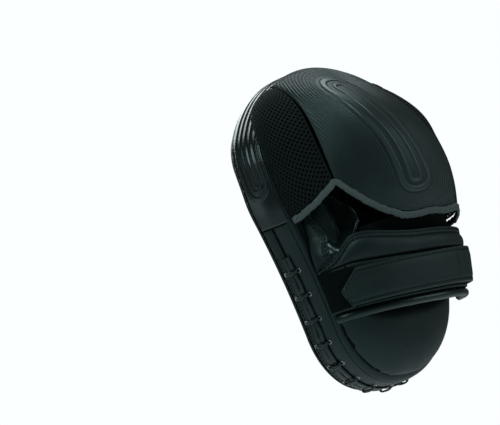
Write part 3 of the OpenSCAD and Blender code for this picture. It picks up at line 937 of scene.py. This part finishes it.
def lower_gussets():
    lines = []
    start = rim_run(BAND_SEAM) - 0.3
    runs = -start + 2 * start * spread(220, 2 * start, 2.0)
    for name, first, last in (("lower_front_gusset", LACE_LINE + 0.6, SIDE_SEAM - 0.3),
                              ("lower_back_gusset", 3.2, LACE_LINE - 0.6)):
        depths = np.concatenate([[first, first + 0.2, first + 0.7],
                                 np.linspace(first + 1.6, last - 1.0, 12),
                                 [last - 0.3, last]])

        def shape(d, s, first=first, last=last):
            d, s = np.broadcast_arrays(d, s)
            share = (d - first) / (last - first)
            return at_rim(s, 0.2 - 0.9 * np.sin(np.pi * share), d)
        base = surface(shape, depths, runs, CENTRE)
        level = base.points[..., 2]
        near_lace = np.abs(base.points[..., 1] - bent_y(level, LACE_LINE))
        pull = np.cos(2 * np.pi * runs / LACE_PITCH)[None, :]
        laced = np.clip((LACED_TOP - level) / 8, 0, 1) * np.exp(-(near_lace / 6) ** 2)
        extra = -0.7 * laced * (0.5 + 0.5 * pull)
        piece, skin = panel(name, base, SKIN, SIDE, extra=extra,
                            rounding=1.1, uneven=0.5, uneven_size=24)
        place(piece, [name])
        if first > LACE_LINE:
            laced_runs = np.linspace(-rim_run(LACED_TOP), rim_run(LACED_TOP), 260)
            lines.append(skin.at(np.full(260, LACE_LINE + 8.0), laced_runs, 0.15))
    stitches("gusset_stitches", lines, THREAD)


def back_panel():
    corner = quarter(0.2, 3.4, 5.0, -3.9, 12, 2.1)
    insets = np.array([5.8, 6.6, 7.4, 8.5, 11, 15, 20, 28, 36])
    flat = np.stack([insets, np.full(len(insets), -0.5)], -1)
    profile = np.concatenate([corner, flat])
    shape, rows = pad_rows(profile, 14)
    base = surface(shape, rows, RIM_RUNS, CENTRE, wrap=True)
    seam = np.interp(rows, np.arange(len(profile)), trough(profile[:, 0] - 6.6, 0.5, 0.8))
    piece, skin = panel("pad_back", base, 0.8, SIDE, extra=seam[:, None],
                        rounding=0.8, open_sides=(1, 0, 0, 0), uneven=0.4, uneven_size=30)
    place(piece, ["pad_back_panel"])
    row = float(len(corner) + 1)
    low = np.linspace(-rim_run(BAND_SEAM), rim_run(BAND_SEAM), 420)
    stitches("rim_stitches", [skin.at(np.full(420, row), low, 0.15)], THREAD)


def lacing():
    stations = (np.arange(LACE_COUNT) - (LACE_COUNT - 1) / 2) * LACE_PITCH
    runs = np.linspace(-rim_run(LACED_TOP), rim_run(LACED_TOP), 360)
    under = 0.5 + 0.5 * np.cos(2 * np.pi * runs / LACE_PITCH)
    for side, name in ((-1, "lace_back"), (1, "lace_front")):
        sway = side * (2.3 - 0.7 * under) + 0.25 * np.sin(runs / 7.0 + side)
        path = at_rim(runs, -1.2 + 0.7 * under ** 2, LACE_LINE + sway)
        piece = sweep(name, path, outwards(runs), oval(4.2, 1.7, 14, 0.8), LACE)
        place(piece, ["lace_strip"] if side < 0 else ())
    points, faces = [], []
    t = np.linspace(-1, 1, 15)
    out = -0.1 - 3.1 * np.sqrt(np.clip(1 - t ** 4, 0, 1))
    for s in stations:
        for lean in (-1, 1):
            path = at_rim(s + lean * (1.0 - 1.6 * np.abs(t)) + 0.4 * t, out,
                          LACE_LINE + EYELET_SPREAD * t)
            more, quads = bar(path, outwards(np.full(15, s)), oval(2.0, 1.5, 8), len(points))
            points.extend(more)
            faces += quads
    place(new_piece("lace_wraps", np.array(points), faces, LACE), ["lace_wraps"])
    points, faces = [], []
    for s in stations:
        for side in (-1, 1):
            add_eyelet(points, faces, s, LACE_LINE + side * (EYELET_SPREAD + 0.6))
    place(new_piece("eyelets", np.array(points), faces, EYELET), ["eyelets"])


EYELET_PROFILE = ((0.8, -0.4), (0.9, 0.2), (1.15, 0.5), (1.5, 0.55), (1.8, 0.3), (1.9, 0.0),
                  (1.8, -0.5))


def add_eyelet(points, faces, s, depth):
    """Adds a rolled metal eyelet that lies on the pad's side."""
    up = outwards(s)
    around = np.array([-up[2], 0, up[0]])
    centre = at_rim(s, -0.5, depth)
    start, sides = len(points), 20
    k = len(EYELET_PROFILE)
    for i in range(sides):
        a = 2 * math.pi * i / sides
        out = math.cos(a) * around + math.sin(a) * np.array([0, 1.0, 0])
        points.extend(centre + r * out + h * up for r, h in EYELET_PROFILE)
    for i in range(sides):
        for j in range(k):
            a, b = start + i * k + j, start + i * k + (j + 1) % k
            c, d = start + (i + 1) % sides * k + j, start + (i + 1) % sides * k + (j + 1) % k
            faces.append((a, b, d, c))


# ---------- cushions on the hand side ----------

TAIL_TOP = -62.0
TAIL_INSET = 3.0
TAIL_MIDDLE = (0.0, -90.0)           # x and z of the tail cushion's middle
PALM_MIDDLE = (0.0, -4.0)            # x and z of the palm ball's middle
PALM_HALF = (36.0, 14.0)             # half of the palm ball's width and height
SWELL_VOXEL, SWELL_PRESSURE = 3.5, 4.0


def dome(outline, middle, steps, height):
    """Points of a cushion over an outline: rings that close over its middle."""
    rings = np.cos(np.linspace(0, math.pi / 2, steps))
    rows = []
    for q in rings:
        p = middle + (outline - middle) * q
        rise = (1 - q ** 2.6) ** 0.5
        rows.append(on_back(p[:, 0], p[:, 1], 0.3 - height * rise))
    return np.array(rows)


def cushion(name, outline, middle, steps, height, material):
    """Closed piece of a dome whose underside is drawn together to one point."""
    points = dome(outline, np.array(middle), steps, height)
    rows, columns = points.shape[:2]
    flat = np.concatenate([points.reshape(-1, 3), on_back(*middle, 0.3)[None]])
    faces = tube_faces(rows, columns)
    faces += [(len(flat) - 1, (j + 1) % columns, j) for j in range(columns)]
    return new_piece(name, flat, faces, material)


def tail_cushion():
    z = mix(-TAIL + TAIL_INSET, TAIL_TOP, np.linspace(0, 1, 61) ** 1.6)
    half = half_width(z, TAIL_INSET)
    right = np.stack([half, z], -1)
    left = np.stack([-half, z], -1)[::-1]
    top = np.stack([np.linspace(half[-1], -half[-1], 24)[1:-1], np.full(22, TAIL_TOP)], -1)
    outline = np.concatenate([right, top, left[:-1]])
    piece = cushion("tail_cushion", outline, TAIL_MIDDLE, 16, 20.0, TAIL_SKIN)

    def held(p):
        off = bent_y(p[:, 2]) - p[:, 1]
        return np.clip(1.2 - off / 3.0, 0, 1)
    swell(piece, 2.5, held)
    place(piece, ["tail_cover"])


def palm_cushion():
    a = np.linspace(0, 2 * math.pi, 48, endpoint=False)
    outline = np.array(PALM_MIDDLE) + np.array(PALM_HALF) * np.stack([np.cos(a), np.sin(a)], -1)
    piece = cushion("palm_cushion", outline, PALM_MIDDLE, 12, 11.5, CUFF)
    swell(piece, 2.0)
    place(piece, ["palm_ball"])


# ---------- hood ----------

HOOD_IN = (0.0, 10.0, 40.0)          # under the hood, so that its skins face away from it
PANEL_WIDE = 100.0                   # nominal size of the ribbed panel when laid flat
PANEL_LONG = 150.0
SLOT_FROM = (-10.0, 31.0)            # middle line of the plain rounded slot, laid flat
SLOT_TO = (12.0, 119.0)
SLOT_HALF = 11.0
RIB_PITCH = 2.3


def slot_distance(u, v):
    """Distance from the rounded slot on the flat panel, squared off a little further out."""
    x, y = (u - 0.5) * PANEL_WIDE, v * PANEL_LONG
    start, end = np.array(SLOT_FROM), np.array(SLOT_TO)
    line = end - start
    t = np.clip(((x - start[0]) * line[0] + (y - start[1]) * line[1]) / (line @ line), 0, 1)
    dx, dy = x - start[0] - t * line[0], y - start[1] - t * line[1]
    return (np.abs(dx) ** 2.4 + np.abs(dy) ** 2.4) ** (1 / 2.4) - SLOT_HALF


def hood_ribs(u, v):
    """Height of the panel's ribs, and how far each point belongs to the glossy outline."""
    d = slot_distance(u, v)
    wave = (0.5 + 0.5 * np.cos(2 * np.pi * d / RIB_PITCH)) ** 0.8
    ribs = 0.42 * wave * np.clip((d - 4.6) / 2.5, 0, 1)
    line = np.clip((2.4 - np.abs(d - 1.0)) / 0.7, 0, 1)
    inner = np.clip((1.5 - np.abs(d + 6.4)) / 0.7, 0, 1)
    edge = np.minimum(np.minimum(u, 1 - u) * PANEL_WIDE, np.minimum(v, 1 - v) * PANEL_LONG)
    return (ribs + 0.6 * (line + inner)) * np.clip((edge - 1.5) / 2.0, 0, 1), line + inner


def hood_panel():
    across, down = ((230, 340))
    us, vs = spread(across, 100, 1.5), spread(down, 150, 1.5)
    base = surface(lambda v, u: hood_point(mix(0.004, 0.996, u), mix(0.004, 0.992, v)),
                   vs, us, HOOD_IN)
    ribs, marks = hood_ribs(us[None, :], vs[:, None])
    piece, _ = panel("hood_panel", base, HOOD_WALL, HOOD, extra=ribs,
                     rounding=1.2, uneven=0.8, uneven_size=40, marks=marks)
    place(piece, ["hood_centre_panel"])
    lining = surface(lambda v, u: hood_point(u, v), np.linspace(0.1, 0.965, 40),
                     np.linspace(0.05, 0.95, 30), HOOD_IN)
    inner, _ = panel("hood_lining", lining.moved(-HOOD_WALL - 0.3), 2.6, LINING,
                     uneven=0.5)
    place(inner, ["hood_liner"])


MESH_ROWS, MESH_COLUMNS = 23, 11     # whole diamonds of the mesh along and across a side
THREAD_WIDTH = 1.25                  # solid fabric between two holes


def mesh_lattice(side):
    """Corners of a side's diamonds, and the diamonds; those cut by the border have three corners."""
    rows, columns = 2 * MESH_ROWS, 2 * MESH_COLUMNS
    points, faces, index = [], [], {}

    def corner(i, j):
        if (i, j) not in index:
            index[i, j] = len(points)
            points.append(side_point(mix(0.0, 0.985, j / columns), mix(0.03, 0.985, i / rows),
                                     side))
        return index[i, j]
    for i in range(rows + 1):
        for j in range(columns + 1):
            ring = [(p, q) for p, q in ((i - 1, j), (i, j + 1), (i + 1, j), (i, j - 1))
                    if 0 <= p <= rows and 0 <= q <= columns]
            if (i + j) % 2 and len(ring) >= 3:
                faces.append(tuple(corner(*k) for k in ring))
    return points, faces


def hood_mesh(side, name, node):
    """Spacer mesh with real diamond holes, over a dark inner layer."""
    points, faces = mesh_lattice(side)
    mesh = bpy.data.meshes.new(name)
    mesh.from_pydata((np.array(points) * MM).tolist(), [], faces)
    bm = bmesh.new()
    bm.from_mesh(mesh)
    bmesh.ops.recalc_face_normals(bm, faces=bm.faces)
    outward = sum(f.normal.dot(f.calc_center_median() - Vector(HOOD_IN) * MM) for f in bm.faces)
    if outward < 0:
        bmesh.ops.reverse_faces(bm, faces=bm.faces)
    holes = [f for f in bm.faces if len(f.verts) == 4]
    bmesh.ops.inset_individual(bm, faces=holes, thickness=THREAD_WIDTH * 0.5 * MM,
                               use_even_offset=True)
    bmesh.ops.delete(bm, geom=holes, context="FACES")
    for face in bm.faces:
        face.smooth = True
    bm.to_mesh(mesh)
    bm.free()
    piece = add_object(name, mesh, MESH)
    wall = piece.modifiers.new("wall", "SOLIDIFY")
    wall.thickness = 0.9 * MM
    wall.offset = -1
    soft = piece.modifiers.new("soft", "SUBSURF")
    soft.levels = soft.render_levels = 1
    place(piece, [node])
    back = surface(lambda v, u: side_point(u, v, side), np.linspace(0.05, 0.975, 40),
                   np.linspace(0.01, 0.97, 20), HOOD_IN)
    layer, _ = panel(name + "_backing", back.moved(-1.9), 0.6, MESH_BACK,
                     rounding=0.5)
    place(layer)


def lip_path():
    """Line just past the hood's lip from the left foot to the right, with its outward side."""
    middle, side = np.linspace(0, 1, 90), np.linspace(0, 1, 60)

    def line(v):
        return np.concatenate([side_point(side, v, -1)[:-1], hood_point(middle, v),
                               side_point(side[::-1], v, 1)[1:]])
    lip = line(1.0)
    return lip, unit(lip - line(0.97))


def hood_binding():
    at, onward = lip_path()
    points, t, run = along(at, 0.8)
    down = unit(smoothed(unit(rows_at(t, run, onward))))
    points = smoothed(points)
    a = np.linspace(0, 2 * np.pi, 18, endpoint=False)
    n = len(points)
    section = np.broadcast_to(oval(2.9, 5.4, 18, 0.85), (n, 18, 2)).copy()
    grid = points[:, None] + 2.5 * np.stack([np.cos(a), np.sin(a), 0 * a], -1)[None]
    ruffle = bumps(grid + t[:, None, None] * 0.35, 3.4, 3.0)
    pleat = 0.5 + 0.5 * np.sin(t[:, None] * 0.9 + 2.0 * np.sin(a)[None] + 2.5 * bumps(
        points, 14, 8.0)[:, None])
    section *= (1 + 0.16 * ruffle + 0.12 * (pleat ** 2 - 0.4))[..., None]
    wander = 0.5 * bumps(points, 9, 5.0)
    piece = sweep("hood_binding", points + down * (1.6 + wander[:, None]), down, section,
                  BINDING)
    place(piece, ["hood_binding"])
    outward = unit(np.cross(np.gradient(points, axis=0), down))
    stitches("binding_stitches", [(points + down * 0.2 + 1.55 * outward, outward)],
             BINDING, pitch=2.8, length=2.0, width=0.6)


# ---------- thumb ----------

THUMB_IN = (-45.0, 20.0, -10.0)      # under the thumb's leather, so that it faces away from it
# the gusset's free border: levels, and how far round the thumb's leather it reaches there
GUSSET_BORDER = ((-33.0, -26.0, -18.0, -8.0, 2.0, 11.0), (0.03, 0.57, 0.44, 0.33, 0.24, 0.15))
GUSSET_LOW, GUSSET_HIGH = GUSSET_BORDER[0][0], GUSSET_BORDER[0][-1]


def thumb_skin(z, w):
    """Thumb's leather: a tunnel above, which flattens into the wrist's arch below."""
    z, w = np.broadcast_arrays(z, w)
    share = np.clip((z + 24) / 18, 0, 1)
    share = share ** 2 * (3 - 2 * share)
    return mix(arch(mix(178, 144, w), z, 4.6), stall(mix(180, 0, w), z), column(share))


def thumb_stall():
    base = surface(thumb_skin, np.linspace(GUSSET_LOW, 33, 90), np.linspace(0, 1, 60), THUMB_IN)
    p = base.points
    folds = (1.6 * bumps(p * (1, 1, 0.45), 15, 2.0)
             + 0.9 * np.sin((p[..., 2] * 0.5 + p[..., 0]) / 3.4 + 2.5 * bumps(p, 20, 7.0)))
    piece, _ = panel("thumb_stall", base, 1.3, SHINY, extra=0.8 * folds,
                     rounding=1.2)
    place(piece, ["thumb_stall"])


def thumb_gusset():
    """Folded side leather below the thumb, and the strip under it down to the cuff's rim."""
    def shape(t, w):
        t, w = np.broadcast_arrays(t, w)
        z = mix(GUSSET_LOW, GUSSET_HIGH, t)
        return thumb_skin(z, w * np.interp(z, *GUSSET_BORDER))
    ts = np.unique(np.concatenate([spread(70, 45, 2.0), [
        (z - GUSSET_LOW) / (GUSSET_HIGH - GUSSET_LOW) for z in GUSSET_BORDER[0][1:-1]]]))
    base = surface(shape, ts, spread(34, 22, 2.0), THUMB_IN).moved(1.7)
    _, from_edge = edge_profile(base.points, 1.0, (0, 0, 0, 1))
    welts = 0.8 * (np.exp(-((from_edge - 0.9) / 0.6) ** 2)
                   + np.exp(-((from_edge - 3.4) / 0.6) ** 2))
    piece, skin = panel("thumb_gusset", base, SKIN, SIDE, extra=welts,
                        rounding=1.0, uneven=0.7, uneven_size=18)
    place(piece, ["side_gusset_left"])
    inside = np.linspace(0.03, 0.97, 120)
    row_length = np.linalg.norm(skin.at(inside, 1.0)[0] - skin.at(inside, 0.0)[0], axis=-1)
    stitches("thumb_stitches", [skin.at(inside, np.clip(1 - k / row_length, 0, 1), 0.15)
                                for k in (2.1, 4.6)], THREAD)

    low = arch_surface(177, LEFT_END + 0.6, (SHELL_LOW, SHELL_LOW), (-35.5, -34.5), 6.0, 30, 24)
    piece, _ = panel("gusset_foot", low, SKIN, SIDE, rounding=1.0)
    place(piece)


def thumb_web():
    """Folded leather that sags from the thumb's tunnel to the top of the cuff."""
    def shape(t, w):
        t, w = np.broadcast_arrays(t, w)
        start = thumb_skin(mix(-24, 26, w), 0.86 + 0 * w)
        end = arch(mix(142, 124, w), mix(-20, -3, w), 2.0)
        sag = on_back(-42 + 3 * w, mix(-18, 14, w), -23 - 3 * (1 - w))
        return bezier(start, sag, end, column(t))
    base = surface(shape, np.linspace(0, 1, 40), np.linspace(0, 1, 40), BACK)
    p = base.points
    folds = 1.2 * np.sin((p[..., 0] * 0.8 + p[..., 2] * 0.3) / 2.6 + 2 * bumps(p, 14, 4.0))
    piece, _ = panel("thumb_web", base, 1.3, SHINY, extra=folds * 0.6,
                     rounding=1.2)
    place(piece)


# ---------- cuff ----------

WRIST_IN = (0.0, 20.0, -40.0)        # inside the wrist's arch, so that its skins face away from it
# the cuff's upper edge and the seam below it, as (angle, level) round the arch
CUFF_EDGE = ((29.5, -21), (64, -19), (88, -18.2), (102, -16), (116, -13.2), (128, -11.5),
             (138, -12.5), (144, -16), (150, -21), (158, -26), (178, -31))
CUFF_SEAM = ((29.5, -38), (55, -37), (103, -35.5), (143, -33.5), (178, -35.5))


def arch_layer(first, last, low, high, off, rows, columns):
    """Surface of the arch between two angles and the levels low(angle) and high(angle)."""
    def shape(t, w):
        t, w = np.broadcast_arrays(t, w)
        a = mix(first, last, w)
        return arch(a, mix(low(a), high(a), t), off)
    return surface(shape, rows, columns, WRIST_IN)


def arch_surface(first, last, low, high, off, rows, columns):
    """Surface of the arch between two angles; low and high are levels at first and last."""
    def slope(ends):
        return lambda a: mix(ends[0], ends[1], (a - first) / (last - first))
    wide = abs(first - last) * 1.2
    tall = max(abs(high[0] - low[0]), abs(high[1] - low[1]))
    return arch_layer(first, last, slope(low), slope(high), off,
                      spread(rows, tall, min(2.0, tall / 3)),
                      spread(columns, wide, min(2.0, wide / 3)))


def level_on(line, a):
    """Level of an edge at angle a, with its corners rounded."""
    angles, levels = np.array(line, float).T
    return sum(np.interp(a + k, angles, levels) for k in (-4, -2, 0, 2, 4)) / 5


def below_edge(gap):
    return lambda a: level_on(CUFF_EDGE, a) - gap


def above_rim(gap):
    return lambda a: SHELL_LOW + gap


def cuff_layers():
    """Lining and foam under the cuff's leather."""
    rows, columns = spread(24, 50, 2.0), spread(90, 200, 2.0)
    base = arch_layer(176, 4, above_rim(0), below_edge(1.5), 1.0, rows, columns)
    piece, _ = panel("cuff_lining", base, 1.0, LINING, rounding=0.5)
    place(piece, ["cuff_lining"])
    base = arch_layer(174, 6, above_rim(1), below_edge(3.5), 4.1, rows, columns)
    piece, _ = panel("cuff_foam_layer", base, 2.9, FOAM, rounding=1.2, uneven=0.3)
    place(piece, ["cuff_foam"])


def wrist_gusset():
    right = arch_surface(RIGHT_END - 0.4, 3, (SHELL_LOW, SHELL_LOW), (CUFF_RIGHT_TOP, -27), 6.0,
                         30, 30)
    piece, _ = panel("wrist_gusset", right, SKIN, SIDE, rounding=1.0,
                     uneven=0.5, uneven_size=18)
    place(piece, ["side_gusset_right"])


def cuff_panels():
    """Upper and lower leather panels of the cuff, and their stitches."""
    base = arch_layer(178, RIGHT_END, lambda a: level_on(CUFF_SEAM, a) + 0.2, below_edge(0),
                      6.0, spread(44, 20, 2.0), spread(190, 200, 2.0))
    height = np.linalg.norm(base.points[-1] - base.points[0], axis=-1)[None, :]
    from_top = (1 - base.rows[:, None]) * height
    puff = np.clip(height / 20, 0, 1) * 2.2 * np.sin(
        np.pi * np.clip((from_top - 5.5) / np.maximum(height - 5.5, 1), 0, 1)) ** 0.7
    grooves = trough(from_top - 2.2, 0.5, 0.7) + trough(from_top - 4.8, 0.6, 0.8)
    piece, skin = panel("cuff_upper", base, 1.6, CUFF,
                        extra=puff + grooves, rounding=1.3, uneven=0.6, uneven_size=20)
    place(piece, ["cuff_upper_panel"])
    ws = np.linspace(0.03, 0.99, 300)
    height = np.interp(ws, base.columns, height[0])
    lines = [skin.at(1 - k / height, ws, 0.15) for k in (2.2, 4.8)]

    def lower_height(w):
        return level_on(CUFF_SEAM, mix(LEFT_END, RIGHT_END, w)) - SHELL_LOW
    base = arch_layer(LEFT_END, RIGHT_END, above_rim(0), lambda a: level_on(CUFF_SEAM, a),
                      5.8, spread(40, 34, 2.0), spread(150, 190, 2.0))
    t = base.rows[:, None]
    height = lower_height(base.columns[None, :])
    puff = 0.8 * np.sin(np.pi * np.clip((t * height - 4) / (height - 4), 0, 1)) ** 0.8
    piece, skin = panel("cuff_lower", base, SKIN, CUFF,
                        extra=puff + trough(t * height - 2.6, 0.5, 0.8), rounding=1.0,
                        uneven=0.3, uneven_size=20)
    place(piece, ["cuff_lower_panel"])
    ws = np.linspace(0.01, 0.99, 260)
    lines += [skin.at(2.6 / lower_height(ws), ws, 0.15)]
    stitches("cuff_stitches", lines, THREAD)


def cuff_roll():
    a = np.linspace(175, 5, 220)
    path = arch(a, CUFF_RIM, 3.4)
    up = unit(arch(a, CUFF_RIM, 6.0) - arch(a, CUFF_RIM, 3.0))
    n = len(path)
    section = np.broadcast_to(oval(6.8, 6.2, 18), (n, 18, 2)).copy()
    section *= 1 + 0.06 * bumps(path, 12, 1.0)[:, None, None]
    from_end = np.minimum(np.arange(n), n - 1 - np.arange(n))
    section *= np.clip(from_end / 4 + 0.55, 0, 1)[:, None, None]
    piece = sweep("cuff_roll", path, up, section, SHINY)
    place(piece, ["cuff_rim_roll"])


def loop_patch():
    patch = arch_surface(176, 66, (-66, -64), (-35.5, -39), 7.3, 90, 330)
    rough = 0.5 * bumps(patch.points, 1.1, 2.0)
    piece, _ = panel("loop_patch", patch, 0.9, PILE, extra=rough, rounding=0.6)
    place(piece, ["cuff_loop_patch"])


def hand_back_mesh():
    back = arch_surface(124, 12, (-15.5, -24), (-8, 8), -2.4, 20, 60)
    piece, _ = panel("hand_back_mesh", back, 0.9, LINING, rounding=0.5)
    place(piece, ["hand_back_mesh"])


# ---------- strap ----------

FOLD_ANGLE, FLEX_ANGLE, TIP_ANGLE = 25.5, 100.0, 161.0
STRAP_OUT = 8.7 + STRAP_WALL
CUT_HIGH, CUT_LOW = 144.0, 155.0     # where the pointed end's edges start
SPLIT_ANGLE = 62.0                   # where the strap's two pieces meet
STRAP_BORDER = 2.8                   # from the strap's edges to its stitches


def strap_middle(a):
    """Level of the strap's middle line at an angle."""
    return mix(-50.5, -52.0, (a - FOLD_ANGLE) / (TIP_ANGLE - FOLD_ANGLE))


def tip_edge(a, side):
    """Level of the strap's edge on one side, cut to a point at the strap's end."""
    cut = CUT_HIGH if side > 0 else CUT_LOW
    tip_level = strap_middle(TIP_ANGLE) - 1.5
    before = strap_middle(a) + side * STRAP_WIDTH / 2
    after = mix(strap_middle(cut) + side * STRAP_WIDTH / 2, tip_level + side,
                (a - cut) / (TIP_ANGLE - cut))
    return np.where(a < cut, before, after)


def strap_part(name, first, last, columns, open_sides):
    """Piece and outer skin of the strap between two angles."""
    def shape(t, a):
        t, a = np.broadcast_arrays(t, a)
        return arch(a, mix(tip_edge(a, -1), tip_edge(a, 1), t), STRAP_OUT)
    base = surface(shape, spread(22, STRAP_WIDTH, 2.0), np.linspace(first, last, columns),
                   (0.0, 20.0, -50.0))
    t = base.rows[:, None]
    gap = np.minimum(t, 1 - t) * STRAP_WIDTH
    extra = 0.5 * np.clip((gap - STRAP_BORDER) / 4, 0, 1) + trough(gap - STRAP_BORDER, 0.45, 0.7)
    return panel(name, base, STRAP_WALL, STRAP, extra=extra, rounding=1.2,
                 open_sides=open_sides, uneven=0.3, uneven_size=22)


def bend(pieces, angle, level):
    """Bakes the pieces' placement into their meshes; the strap's point and direction at the angle go
    unused.
    """
    at = arch(angle, strap_middle(angle), STRAP_OUT - 1.2)
    onward = unit(arch(angle + 1, level, STRAP_OUT) - arch(angle - 1, level, STRAP_OUT))
    for piece in pieces:
        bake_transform(piece)


def strap():
    near, near_skin = strap_part("strap_near", 6.0, SPLIT_ANGLE, 90, (1, 1, 1, 0))
    far, far_skin = strap_part("strap_far", SPLIT_ANGLE, TIP_ANGLE, 150, (1, 1, 0, 1))
    share = STRAP_BORDER / STRAP_WIDTH
    a = np.linspace(8.0, SPLIT_ANGLE, 150)
    near_lines = [near_skin.at(np.full(150, k), a, 0.15) for k in (share, 1 - share)]
    a = np.linspace(SPLIT_ANGLE, TIP_ANGLE - 2.5, 220)
    tall = tip_edge(a, 1) - tip_edge(a, -1)
    share = np.clip(STRAP_BORDER / np.maximum(tall, 1), 0, 0.5)
    far_lines = [far_skin.at(k, a, 0.15) for k in (share, 1 - share)]
    near_thread = stitches("strap_near_stitches", near_lines, THREAD, ride=False)
    far_thread = stitches("strap_far_stitches", far_lines, THREAD, ride=False)
    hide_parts("strap_anchor", "strap_run")
    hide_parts("strap_tip")
    bend((near, near_thread), FOLD_ANGLE, -50.5)
    bend((far, far_thread), FLEX_ANGLE, -51)


strike_ring()
strike_target()
edge_band()
lower_gussets()
back_panel()
lacing()
tail_cushion()
palm_cushion()
hood_panel()
hood_mesh(-1, "mesh_left", "hood_mesh_left")
hood_mesh(1, "mesh_right", "hood_mesh_right")
hood_binding()
thumb_stall()
thumb_gusset()
thumb_web()
cuff_layers()
wrist_gusset()
cuff_panels()
cuff_roll()
loop_patch()
hand_back_mesh()
strap()
